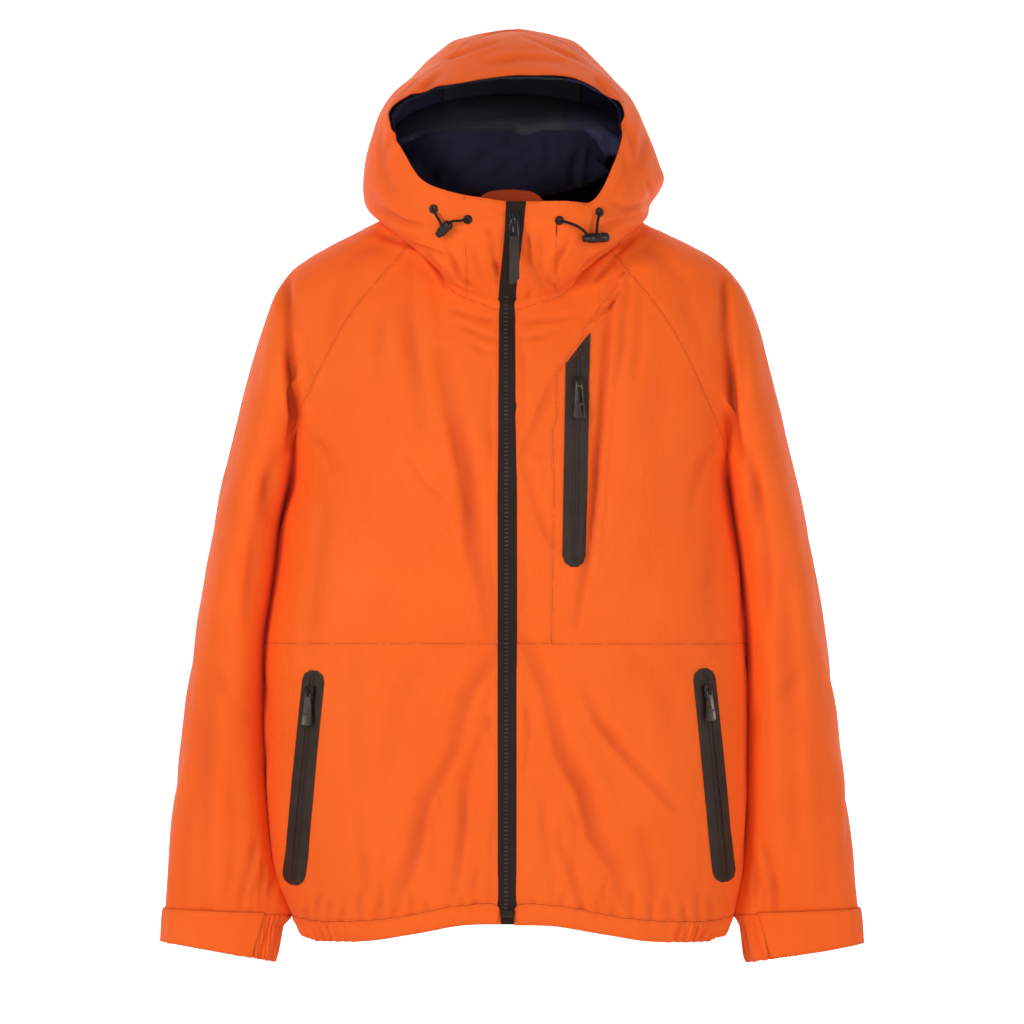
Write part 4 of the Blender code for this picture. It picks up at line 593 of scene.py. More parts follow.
CREASES: tuple[Crease, ...] = (
    # the deep folds where the sleeves meet the chest
    Crease(((-226, -60), (-224, -105), (-220, -150), (-218, -196), (-224, -226)), 5.0, -9.5, lean=-0.3),
    Crease(((214, -60), (218, -110), (221, -160), (222, -205), (228, -236)), 5.0, -9.5, lean=0.3),
    Crease(((-214, -84), (-206, -130), (-205, -172)), 5.0, -2.4),
    Crease(((204, -90), (207, -134), (209, -180)), 5.0, -2.4),
    Crease(((-243, -64), (-238, -120), (-234, -190)), 9.0, 3.0),
    Crease(((234, -64), (238, -130), (240, -200)), 9.0, 3.0),
    Crease(((-234, -226), (-240, -260), (-243, -300)), 6.0, -4.0),
    Crease(((236, -230), (240, -262), (244, -300)), 6.0, -4.0),
    # from the collar's left side down the chest, and along the zip
    Crease(((-98, -40), (-101, -90), (-94, -150), (-90, -205)), 8.0, -3.0, lean=0.30),
    Crease(((-118, -52), (-128, -100), (-131, -160)), 8.0, -1.7),
    Crease(((-84, -60), (-80, -100), (-82, -140)), 4.8, 1.6),
    Crease(
        ((-71, -130), (-63, -190), (-48, -250), (-42, -320), (-28, -370), (-19, -414)), 9.0, -5.2, lean=-0.38
    ),
    Crease(((-40, -180), (-33, -250), (-26, -310)), 8.0, 1.6),
    Crease(((-17, -150), (-22, -200), (-16, -262)), 3.2, -2.2, lean=0.45),
    Crease(((-18, -286), (-24, -330), (-17, -380)), 3.2, -1.9, lean=-0.45),
    Crease(((-58, -206), (-50, -262), (-36, -300)), 2.9, -1.7, lean=0.45),
    Crease(((8, -330), (15, -362), (10, -400)), 3.2, -1.8),
    Crease(((-102, -236), (-84, -262), (-60, -280)), 3.2, -1.5, lean=0.45),
    Crease(((-60, -88), (-36, -94), (-14, -98)), 3.2, -2.4, lean=0.45),
    Crease(((-52, -102), (-30, -112), (-12, -118)), 3.2, -1.8, lean=0.45),
    Crease(((-44, -120), (-28, -128), (-12, -132)), 3.6, -1.2),
    Crease(((10, -104), (34, -100), (60, -96)), 3.2, -2.0, lean=-0.45),
    Crease(((12, -120), (30, -114), (46, -110)), 3.2, -1.5),
    # right of the chest pocket
    Crease(
        ((106, -60), (99, -92), (95, -150), (89, -210), (82, -290), (75, -350), (66, -402)), 4.8, -6.4,
        lean=0.38,
    ),
    Crease(((118, -50), (104, -70), (92, -92), (82, -104)), 3.2, 4.2, lean=0.45),
    Crease(((112, -64), (98, -84), (84, -100)), 2.9, -5.0, lean=0.45),
    Crease(((118, -62), (112, -100), (108, -160)), 4.0, -2.8),
    Crease(((128, -62), (127, -120), (122, -175)), 4.8, -1.8),
    Crease(((99, -80), (91, -116), (86, -160), (83, -230)), 3.6, 1.8),
    Crease(((120, -130), (112, -210), (104, -300)), 8.0, 1.6),
    Crease(((150, -110), (146, -200), (150, -300)), 12.0, -1.2),
    # rays from the zip
    Crease(((9, -238), (22, -202), (38, -164), (50, -142)), 4.8, -2.6, lean=0.45),
    Crease(((10, -244), (22, -280), (36, -314), (48, -334)), 4.8, -2.3, lean=-0.45),
    Crease(((8, -112), (14, -160), (12, -206)), 4.0, -1.6),
    Crease(((24, -240), (36, -238), (46, -232)), 4.0, 1.2),
    # underarms
    Crease(((-206, -208), (-188, -226), (-176, -252)), 4.0, -2.0),
    Crease(((-182, -222), (-166, -256)), 2.1, -1.1),
    Crease(((-96, -348), (-78, -324), (-60, -304)), 2.2, -1.0),
    Crease(((-184, -268), (-192, -350), (-198, -430)), 9.0, -1.6),
    Crease(((208, -212), (192, -240), (178, -286)), 4.8, -1.8),
    Crease(((196, -300), (198, -370), (206, -430)), 9.0, -1.4),
    # below the chest seam, left
    Crease(
        ((-14, -434), (-43, -476), (-58, -528), (-86, -576), (-96, -632), (-112, -682)), 8.5, -4.4, lean=0.38
    ),
    Crease(((-22, -496), (-44, -556), (-49, -618), (-60, -690)), 4.8, -4.0, lean=0.38),
    Crease(((-18, -452), (-26, -486), (-18, -520)), 3.2, -2.4, lean=0.45),
    Crease(((-66, -560), (-80, -600), (-78, -646)), 3.0, -2.0, lean=-0.45),
    Crease(((-122, -620), (-130, -654), (-126, -690)), 3.2, -2.2, lean=0.45),
    Crease(((-34, -640), (-38, -668), (-34, -694)), 2.9, -2.2),
    Crease(((-52, -486), (-74, -540), (-92, -590)), 7.0, 1.6),
    Crease(((-14, -560), (-20, -620), (-22, -690)), 4.0, -1.8),
    Crease(((-150, -590), (-146, -650), (-142, -690)), 7.0, -1.6),
    Crease(((-150, -430), (-156, -500), (-150, -570)), 13.0, -1.4),
    Crease(((-96, -440), (-120, -500), (-128, -560)), 12.0, -1.2),
    # below the chest seam, right
    Crease(
        ((8, -416), (31, -468), (47, -530), (70, -568), (82, -612), (102, -643), (112, -682)), 7.5, -4.6,
        lean=-0.45,
    ),
    Crease(((70, -468), (86, -502), (108, -527), (142, -562), (162, -586)), 5.2, -4.0, lean=-0.45),
    Crease(((10, -470), (18, -510), (12, -548)), 3.2, -2.4, lean=-0.45),
    Crease(((54, -566), (66, -604), (62, -648)), 3.0, -2.2, lean=0.45),
    Crease(((96, -650), (92, -672), (98, -694)), 2.9, -2.2),
    Crease(((60, -500), (82, -545), (110, -590)), 7.0, 1.8),
    Crease(((46, -606), (60, -650), (72, -690)), 4.8, -2.6),
    Crease(((28, -556), (36, -620), (42, -690)), 4.8, -1.9),
    Crease(((128, -606), (140, -650), (146, -690)), 7.0, -2.0),
    Crease(((120, -430), (150, -470), (168, -520)), 11.0, -1.2),
    # the collar and the hood's front
    Crease(((-17, -36), (-15, -50), (-13, -64)), 3.3, -5.6, lean=-0.45),
    Crease(((-22, -6), (-19, -20), (-18, -34)), 3.7, -2.5),
    Crease(((16, -10), (19, -26), (17, -44)), 3.3, -3.7, lean=0.45),
    Crease(((14, -60), (20, -70), (16, -84)), 3.3, -2.2),
    Crease(((-140, -4), (-112, -20), (-88, -28), (-66, -34)), 3.3, -4.3, lean=0.45),
    Crease(((-124, -22), (-100, -30), (-78, -32)), 3.0, 2.8),
    Crease(((-126, 8), (-104, -2), (-88, -4)), 3.3, -3.4, lean=0.45),
    Crease(((-86, -32), (-74, -50), (-66, -66)), 3.0, -4.7, lean=-0.45),
    Crease(((-66, -28), (-58, -46), (-52, -60), (-40, -66)), 3.0, -4.0, lean=-0.45),
    Crease(((-38, -24), (-34, -44), (-30, -58)), 3.3, -2.3),
    Crease(((132, -8), (106, -22), (78, -42), (66, -58)), 3.3, -4.7, lean=-0.45),
    Crease(((128, 6), (108, 0), (90, -8)), 3.0, -3.1, lean=-0.45),
    Crease(((122, -18), (102, -38), (86, -60)), 3.0, -4.0, lean=0.45),
    Crease(((112, -4), (96, -22), (78, -34)), 3.0, 2.5),
    Crease(((58, -22), (48, -40), (44, -58)), 3.0, -3.4, lean=0.45),
    Crease(((30, -16), (32, -34), (30, -48)), 3.0, -1.9),
    Crease(((100, 18), (122, 12), (142, 20)), 3.7, -2.8),
    Crease(((28, -44), (40, -62), (50, -74)), 3.0, -2.2),
    Crease(((-118, 30), (-130, 60), (-134, 100)), 5.9, -2.8),
    Crease(((-140, 30), (-132, 10), (-110, 4)), 4.4, -2.5),
    Crease(((118, 36), (132, 62), (134, 96)), 5.9, -2.8),
    Crease(((104, 30), (116, 50), (114, 76)), 4.4, -1.9),
    Crease(((-78, 159), (-40, 170), (-14, 179)), 1.9, -2.2),
    Crease(((82, 155), (33, 176), (11, 187)), 1.9, -2.2),
    Crease(((-30, 158), (10, 164), (50, 158)), 3.7, -2.2, lean=0.45),
    Crease(((-112, 96), (-96, 126), (-72, 148)), 3.7, -3.4, lean=0.45),
    Crease(((112, 92), (104, 122), (86, 142)), 3.7, -3.4, lean=-0.45),
    Crease(((-126, 60), (-118, 84), (-102, 104)), 3.0, -2.5),
    Crease(((124, 54), (120, 80), (110, 100)), 3.0, -2.5),
    Crease(((-132, 2), (-116, -4), (-100, 0)), 4.2, -1.8, lean=0.3),
    Crease(((-128, -14), (-114, -13), (-98, -17)), 4.0, -1.6),
    Crease(((94, 12), (110, 8), (124, 12)), 4.2, -1.6),
    Crease(((96, -10), (112, -12), (124, -8)), 4.0, -1.5),
    Crease(((136, 40), (142, 22), (136, 4)), 3.0, -4.0, lean=0.45),
    # shoulders
    Crease(((-112, -18), (-140, -28), (-170, -46)), 7.0, -1.8),
    Crease(((-150, -50), (-172, -76), (-186, -120)), 9.0, -1.4),
    Crease(((122, -22), (150, -38), (178, -64)), 7.0, -1.8),
    Crease(((150, -46), (172, -76), (184, -120)), 9.0, -1.4),
    # sleeves, front
    Crease(((-246, -250), (-257, -330), (-263, -410)), 7.0, -3.2, lean=-0.3),
    Crease(((-272, -180), (-284, -260), (-288, -330)), 10.0, -1.4),
    Crease(((-290, -400), (-300, -500), (-306, -600), (-310, -682)), 12.0, -2.6),
    Crease(((-280, -540), (-276, -600), (-284, -684)), 8.0, -2.0),
    Crease(((-324, -560), (-328, -620), (-326, -684)), 7.0, -1.6),
    Crease(((-254, -620), (-264, -660), (-269, -688)), 4.0, -3.4, lean=0.3),
    Crease(((-296, -450), (-276, -480), (-262, -500)), 7.0, -1.4),
    Crease(((244, -250), (252, -330), (257, -410)), 7.0, -3.2, lean=0.3),
    Crease(((262, -300), (272, -400), (280, -500), (282, -620)), 11.0, -3.0),
    Crease(((296, -470), (306, -560), (312, -680)), 9.0, -1.6),
    Crease(((282, -150), (292, -230), (296, -300)), 10.0, -1.4),
    Crease(((250, -620), (258, -660), (264, -690)), 4.0, -3.0, lean=-0.3),
    Crease(((304, -420), (284, -452), (262, -480)), 7.0, -1.4),
    # sleeves, outer sides
    Crease(((-30, -260), (10, -330), (36, -380)), 10.0, -2.4, Side.OUTER_LEFT),
    Crease(((34, -380), (0, -440), (-30, -480)), 10.0, -2.2, Side.OUTER_LEFT),
    Crease(((-26, -520), (6, -570), (26, -620)), 9.0, -2.0, Side.OUTER_LEFT),
    Crease(((0, -90), (10, -170), (-6, -240)), 10.0, -1.6, Side.OUTER_LEFT),
    Crease(((30, -260), (-8, -340), (-34, -400)), 10.0, -2.4, Side.OUTER_RIGHT),
    Crease(((-34, -400), (4, -460), (30, -500)), 10.0, -2.2, Side.OUTER_RIGHT),
    Crease(((24, -540), (-6, -590), (-24, -640)), 9.0, -2.0, Side.OUTER_RIGHT),
    Crease(((4, -90), (-8, -170), (8, -240)), 10.0, -1.6, Side.OUTER_RIGHT),
    # back
    Crease(((-222, -80), (-218, -150), (-220, -230)), 7.0, -6.0, Side.BACK),
    Crease(((218, -80), (220, -150), (222, -230)), 7.0, -6.0, Side.BACK),
    Crease(((-110, -90), (-92, -200), (-60, -320), (-48, -420)), 11.0, -3.6, Side.BACK),
    Crease(((118, -90), (98, -210), (70, -330), (60, -420)), 11.0, -3.6, Side.BACK),
    Crease(((-206, -210), (-180, -290), (-150, -360)), 9.0, -2.8, Side.BACK),
    Crease(((206, -210), (182, -290), (156, -370)), 9.0, -2.8, Side.BACK),
    Crease(((-40, -380), (-60, -520), (-84, -680)), 11.0, -3.4, Side.BACK),
    Crease(((46, -400), (66, -540), (82, -684)), 11.0, -3.4, Side.BACK),
    Crease(((0, -440), (-8, -560), (-4, -686)), 10.0, -2.2, Side.BACK),
    Crease(((-150, -420), (-140, -560), (-146, -680)), 12.0, -2.4, Side.BACK),
    Crease(((150, -430), (138, -560), (144, -680)), 12.0, -2.4, Side.BACK),
    Crease(((-84, -24), (-40, -42), (30, -44)), 7.0, -2.4, Side.BACK),
    Crease(((-40, -60), (10, -70), (64, -60)), 9.0, -1.6, Side.BACK),
    Crease(((-260, -300), (-284, -380), (-272, -450)), 9.0, -2.6, Side.BACK),
    Crease(((-300, -470), (-276, -530), (-290, -600)), 9.0, -2.4, Side.BACK),
    Crease(((258, -300), (282, -380), (268, -450)), 9.0, -2.6, Side.BACK),
    Crease(((300, -470), (272, -530), (288, -600)), 9.0, -2.4, Side.BACK),
    Crease(((-100, 40), (-60, 60), (-20, 40)), 10.0, -3.0, Side.BACK),
    Crease(((96, 44), (60, 66), (24, 46)), 10.0, -3.0, Side.BACK),
    Crease(((-70, 130), (-40, 90), (-50, 40)), 10.0, -2.4, Side.BACK),
    Crease(((72, 120), (44, 84), (52, 36)), 10.0, -2.4, Side.BACK),
    Crease(((-30, 20), (0, 14), (34, 22)), 6.0, -2.2, Side.BACK),
)


def puckers(side: Side, places: Sequence[float], foot: float, heights: Sequence[float]) -> tuple[Crease, ...]:
    """Short upright folds where a gathered casing pulls the cloth above it.

    Args:
        side: the garment's side.
        places: where each fold stands, across, in millimetres.
        foot: the casing's seam, in millimetres.
        heights: how far the folds reach up, used in turn.

    Returns:
        The folds.
    """
    folds = []
    for i, (x, height) in enumerate(zip(places, cycle(heights))):
        line = ((x, foot - 4), (x * 0.995, foot + height * 0.5), (x * 0.985, foot + height))
        folds.append(Crease(line, 3.0 + 0.5 * (i % 3), -2.3 - 0.6 * (i % 2), side))
    return tuple(folds)


HEM_SEAM = -697.0
PUCKERS = (
    *puckers(
        Side.FRONT, (-206, -194, -183, -170, -152, -134, -118, -100, -84, -66, -50, -34, -20), HEM_SEAM,
        (16, 30, 22),
    ),
    *puckers(Side.FRONT, (22, 36, 52, 70, 88, 104, 122, 140, 158, 174, 188, 200), HEM_SEAM, (26, 16, 32, 20)),
    *puckers(Side.BACK, (-200, -186, -172, -156, -138, -116, -92, -66, -40, -14), HEM_SEAM, (24, 34, 18)),
    *puckers(Side.BACK, (12, 38, 64, 90, 114, 136, 156, 174, 190, 204), HEM_SEAM, (18, 32, 26)),
    *puckers(Side.FRONT, (-259, -250, -242), -686, (30, 44, 36)),
    *puckers(Side.FRONT, (246, 254, 264), -688, (44, 30, 38)),
)


@dataclass(frozen=True)
class Cut:
    """A panel's flat cut, as a maker lays it out, in metres."""

    node: str
    width: float
    length: float
    fill: float = 0.8


def sheet_of(
    node: str, outward: bool, heart: Callable[[Vector], Vector], fold: float = 50.0
) -> bmesh.types.BMesh:
    """One sheet of a thin solid: the wall without its rim and its other face.

    Args:
        node: the frame's solid.
        outward: whether the sheet wanted faces away from the garment's heart.
        heart: gives the heart's point for a point on the cloth.
        fold: the angle in degrees between a sheet and its rim.

    Returns:
        The sheet, in quads where its triangles pair up.
    """
    mesh = bmesh.new()
    mesh.from_mesh(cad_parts[node].data)
    bmesh.ops.remove_doubles(mesh, verts=mesh.verts[:], dist=2e-6)
    mesh.normal_update()
    limit = math.radians(fold)
    waiting, sheets = set(mesh.faces), []
    while waiting:
        first = waiting.pop()
        sheet, edge_faces = {first}, [first]
        while edge_faces:
            face = edge_faces.pop()
            for edge in face.edges:
                if len(edge.link_faces) == 2 and edge.calc_face_angle(0.0) < limit:
                    for other in edge.link_faces:
                        if other in waiting:
                            waiting.discard(other)
                            sheet.add(other)
                            edge_faces.append(other)
        sheets.append(sheet)

    def outlook(sheet: set[bmesh.types.BMFace]) -> float:
        """How much a sheet looks away from the heart."""
        total = 0.0
        for face in sheet:
            middle = face.calc_center_median()
            total += face.normal.dot(middle - heart(middle)) * face.calc_area()
        return total if outward else -total

    chosen = max(sheets, key=outlook)
    bmesh.ops.delete(mesh, geom=[f for f in mesh.faces if f not in chosen], context="FACES")
    bmesh.ops.join_triangles(
        mesh, faces=mesh.faces[:], angle_face_threshold=math.radians(35),
        angle_shape_threshold=math.radians(60),
    )
    return mesh


def body_heart(place: Vector) -> Vector:
    """The garment's middle behind a point: the trunk's axis, or the middle of the hood."""
    return Vector((0, 0, place.z)) if place.z < 0 else Vector((0, 0.015, 0.06))


def relax_seams(mesh: bmesh.types.BMesh, reach: float = 0.015, rounds: int = 2) -> None:
    """Even out the seams' zigzags on the coarse cloth, keeping their long curves and its surface.

    Args:
        mesh: the welded panels, told apart by material index.
        reach: how far along the seam each point is evened out, in metres.
        rounds: how often.
    """
    ground = BVHTree.FromBMesh(mesh)
    beside: dict[bmesh.types.BMVert, list[bmesh.types.BMVert]] = {}
    for edge in mesh.edges:
        if len({f.material_index for f in edge.link_faces}) > 1:
            for vertex in edge.verts:
                beside.setdefault(vertex, []).append(edge.other_vert(vertex))
    free = [v for v, others in beside.items() if len(others) == 2 and not v.is_boundary]
    for _ in range(rounds):
        moved = {}
        for vertex in free:
            arms = [seam_arm(beside, vertex, first, reach) for first in beside[vertex]]
            limit = min(reach, *(arm[-1][0] for arm in arms))
            total, weights = Vector(), 0.0
            for arm in arms:
                gone, spots = zip(*arm)
                for along in np.linspace(0, limit, 9):
                    k = min(int(np.searchsorted(gone, along, "right")) - 1, len(gone) - 2)
                    share = (along - gone[k]) / max(gone[k + 1] - gone[k], 1e-9)
                    weight = math.exp(-((along / reach * 1.6) ** 2))
                    total += spots[k].lerp(spots[k + 1], share) * weight
                    weights += weight
            moved[vertex] = total / weights
        for vertex, place in moved.items():
            vertex.co = ground.find_nearest(place)[0]


def seam_arm(
    beside: dict[bmesh.types.BMVert, list[bmesh.types.BMVert]], start: bmesh.types.BMVert,
    first: bmesh.types.BMVert, reach: float,
) -> list[tuple[float, Vector]]:
    """Follow a seam one way from a point.

    Args:
        beside: each seam point's neighbours along its seam.
        start: the point to leave from.
        first: the neighbour to leave towards.
        reach: how far to go, in metres.

    Returns:
        Distances and places, from the start on.
    """
    arm = [(0.0, start.co.copy())]
    before, here = start, first
    while True:
        arm.append((arm[-1][0] + (here.co - before.co).length, here.co.copy()))
        if arm[-1][0] > reach or len(beside[here]) != 2:
            return arm
        before, here = here, next((o for o in beside[here] if o is not before), before)


def evaluated(piece: bpy.types.Object) -> bpy.types.Mesh:
    """A new mesh of a piece with its modifiers applied."""
    return bpy.data.meshes.new_from_object(piece.evaluated_get(bpy.context.evaluated_depsgraph_get()))


def rounded(mesh: bmesh.types.BMesh) -> bpy.types.Mesh:
    """Smooth a mesh by subdivision, kept out to its first size.

    Args:
        mesh: the coarse shape, freed here.

    Returns:
        The fine mesh data.
    """
    data = bpy.data.meshes.new("rounding")
    mesh.to_mesh(data)
    mesh.free()
    holder = bpy.data.objects.new("rounding", data)
    bpy.context.scene.collection.objects.link(holder)
    step = holder.modifiers.new("round", "SUBSURF")
    step.boundary_smooth = "PRESERVE_CORNERS"
    first = read_points(data)
    for depth in (1, ROUNDINGS):
        step.levels = step.render_levels = depth
        fine = evaluated(holder)
        if depth == 1:
            drawn_in = first - read_points(fine)[: len(first)]
            write_points(data, first + drawn_in)
    bpy.data.objects.remove(holder)
    return fine


def open_edges(data: bpy.types.Mesh) -> list[tuple[int, int]]:
    """The edges that only one face uses, as pairs of points."""
    uses: dict[tuple[int, int], int] = {}
    for face in data.polygons:
        for key in face.edge_keys:
            uses[key] = uses.get(key, 0) + 1
    return [key for key, count in uses.items() if count == 1]


def sharpen_rim(data: bpy.types.Mesh) -> None:
    """Keep a sheet's smooth look right up to its open edges, once it has a wall."""
    rim = set(open_edges(data))
    for edge in data.edges:
        if edge.key in rim:
            edge.use_edge_sharp = True


def add_wall(piece: bpy.types.Object, wall: float) -> bpy.types.Modifier:
    """Thicken a sheet inwards by a wall in millimetres."""
    thickness = piece.modifiers.new("wall", "SOLIDIFY")
    thickness.thickness = wall * MM
    thickness.offset = -1.0
    return thickness


def walled_sheet(node: str, data: bpy.types.Mesh, wall: float) -> bpy.types.Object:
    """Link a rounded sheet as a piece with a wall.

    Args:
        node: the frame's solid that it stands for.
        data: the sheet.
        wall: its thickness, in millimetres.

    Returns:
        The piece.
    """
    piece = bpy.data.objects.new("cloth_" + node, data)
    data.name = piece.name
    data.shade_smooth()
    bpy.context.scene.collection.objects.link(piece)
    add_wall(piece, wall)
    return piece


def point_tree(points: Sequence[Vector]) -> KDTree:
    """A tree for finding the nearest of some points."""
    tree = KDTree(len(points))
    for i, point in enumerate(points):
        tree.insert(point, i)
    tree.balance()
    return tree


def read_layer(data: bpy.types.Mesh, name: str) -> np.ndarray:
    """A number that a mesh stores at each point."""
    values = np.empty(len(data.vertices), dtype=np.float32)
    data.attributes[name].data.foreach_get("value", values)
    return values


def read_points(data: bpy.types.Mesh) -> np.ndarray:
    """A mesh's points as an array."""
    points = np.empty(len(data.vertices) * 3, dtype=np.float32)
    data.vertices.foreach_get("co", points)
    return points.reshape(-1, 3).astype(np.float64)


def write_points(data: bpy.types.Mesh, points: np.ndarray) -> None:
    """Put moved points back into a mesh."""
    data.vertices.foreach_set("co", points.astype(np.float32).ravel())
    data.update()


def read_normals(data: bpy.types.Mesh) -> np.ndarray:
    """A mesh's point normals as an array."""
    normals = np.empty(len(data.vertices) * 3, dtype=np.float32)
    data.vertex_normals.foreach_get("vector", normals)
    return normals.reshape(-1, 3).astype(np.float64)


def fade(value: np.ndarray, low: float, high: float) -> np.ndarray:
    """A smooth step from 0 at low to 1 at high."""
    t = np.clip((value - low) / (high - low), 0, 1)
    return t * t * (3 - 2 * t)


def crease(
    data: bpy.types.Mesh, creases: Iterable[Crease], ripple: float, calm: Sequence[Vector] = ()
) -> None:
    """Move a mesh's points along their normals by its creases and a slow ripple.

    Args:
        data: the fine cloth.
        creases: the folds to press into it.
        ripple: the height of the uneven fall between them, in millimetres.
        calm: places of hard trims, round which the cloth stays flat.
    """
    points, normals = read_points(data), read_normals(data)
    mm = points * 1000
    facing = {
        Side.FRONT: (mm[:, 0], fade(-normals[:, 1], 0.05, 0.45)),
        Side.BACK: (mm[:, 0], fade(normals[:, 1], 0.05, 0.45)),
        Side.OUTER_LEFT: (mm[:, 1], fade(-normals[:, 0], 0.55, 0.85) * (mm[:, 0] < 0)),
        Side.OUTER_RIGHT: (mm[:, 1], fade(normals[:, 0], 0.55, 0.85) * (mm[:, 0] > 0)),
    }
    rise = np.zeros(len(points))
    for fold in creases:
        across, weight = facing[fold.side]
        xs, zs = [p[0] for p in fold.line], [p[1] for p in fold.line]
        margin = fold.width * 4.5
        near = (
            (across > min(xs) - margin) & (across < max(xs) + margin)
            & (mm[:, 2] > min(zs) - margin) & (mm[:, 2] < max(zs) + margin) & (weight > 0)
        )
        rise[near] += fold.heights(across[near], mm[near, 2]) * weight[near]
    for place in calm:
        rise *= fade(np.linalg.norm(points - np.array(place), axis=1), 0.010, 0.026)
    # the creases' rise is kept as "hollow", from which the materials paint shade in the troughs and a
    # highlight on the ridges
    hollow = data.attributes.new("hollow", "FLOAT", "POINT")
    hollow.data.foreach_set("value", np.clip(rise / FULL_SHADE, -1.1, 1))
    for i, (x, y, z) in enumerate(mm):
        slow = noise.noise(Vector((x / 46, y / 46, z / 95)))
        quick = noise.noise(Vector((x / 17 + 9, y / 17, z / 26)))
        rise[i] += ripple * (slow + (0.85 if z > -72 else 0.45) * quick)
    write_points(data, points + normals * rise[:, None] * MM)


def seam_lines(data: bpy.types.Mesh, plain: set[int]) -> None:
    """Store how far each point lies from the nearest seam, and how far along it.

    Args:
        data: the fine cloth, its panels told apart by material index.
        plain: the panels whose seams carry no row of stitches.
    """
    panels: dict[tuple[int, int], set[int]] = {}
    for face in data.polygons:
        for key in face.edge_keys:
            panels.setdefault(key, set()).add(face.material_index)
    rim = set(open_edges(data))
    seams = [key for key, owners in panels.items() if len(owners) > 1 or key in rim]
    linked: dict[int, list[int]] = {}
    for a, b in seams:
        linked.setdefault(a, []).append(b)
        linked.setdefault(b, []).append(a)
    place = {v: data.vertices[v].co.copy() for v in linked}
    run: dict[int, float] = {}
    for start in sorted(linked, key=lambda v: len(linked[v]) == 2):
        if start in run:
            continue
        run[start] = 0.0
        stack = [start]
        while stack:
            here = stack.pop()
            for after in linked[here]:
                if after not in run:
                    run[after] = run[here] + (place[after] - place[here]).length
                    stack.append(after)
    samples: list[tuple[Vector, float]] = []
    for a, b in seams:
        length = (place[b] - place[a]).length
        count = max(int(length / 0.0006), 1)
        for i in range(count):
            share = i / count
            samples.append((place[a].lerp(place[b], share), run[a] + (run[b] - run[a]) * share))
    tree = point_tree([point for point, _ in samples])
    gaps, runs = np.ones(len(data.vertices)), np.zeros(len(data.vertices))
    for vertex in data.vertices:
        _, index, distance = tree.find(vertex.co)
        gaps[vertex.index], runs[vertex.index] = distance, samples[index][1]
    marks = np.ones(len(data.vertices))
    for face in data.polygons:
        if face.material_index in plain:
            for v in face.vertices:
                marks[v] = 0.0
    for name, values in (("seam_gap", gaps), ("seam_run", runs), ("stitched", marks)):
        data.attributes.new(name, "FLOAT", "POINT").data.foreach_set("value", values)


@dataclass(frozen=True)
class Swell:
    """A soft push of the cloth in front view, in millimetres."""

    place: tuple[float, float]
    reach: tuple[float, float]
    shift: tuple[float, float]


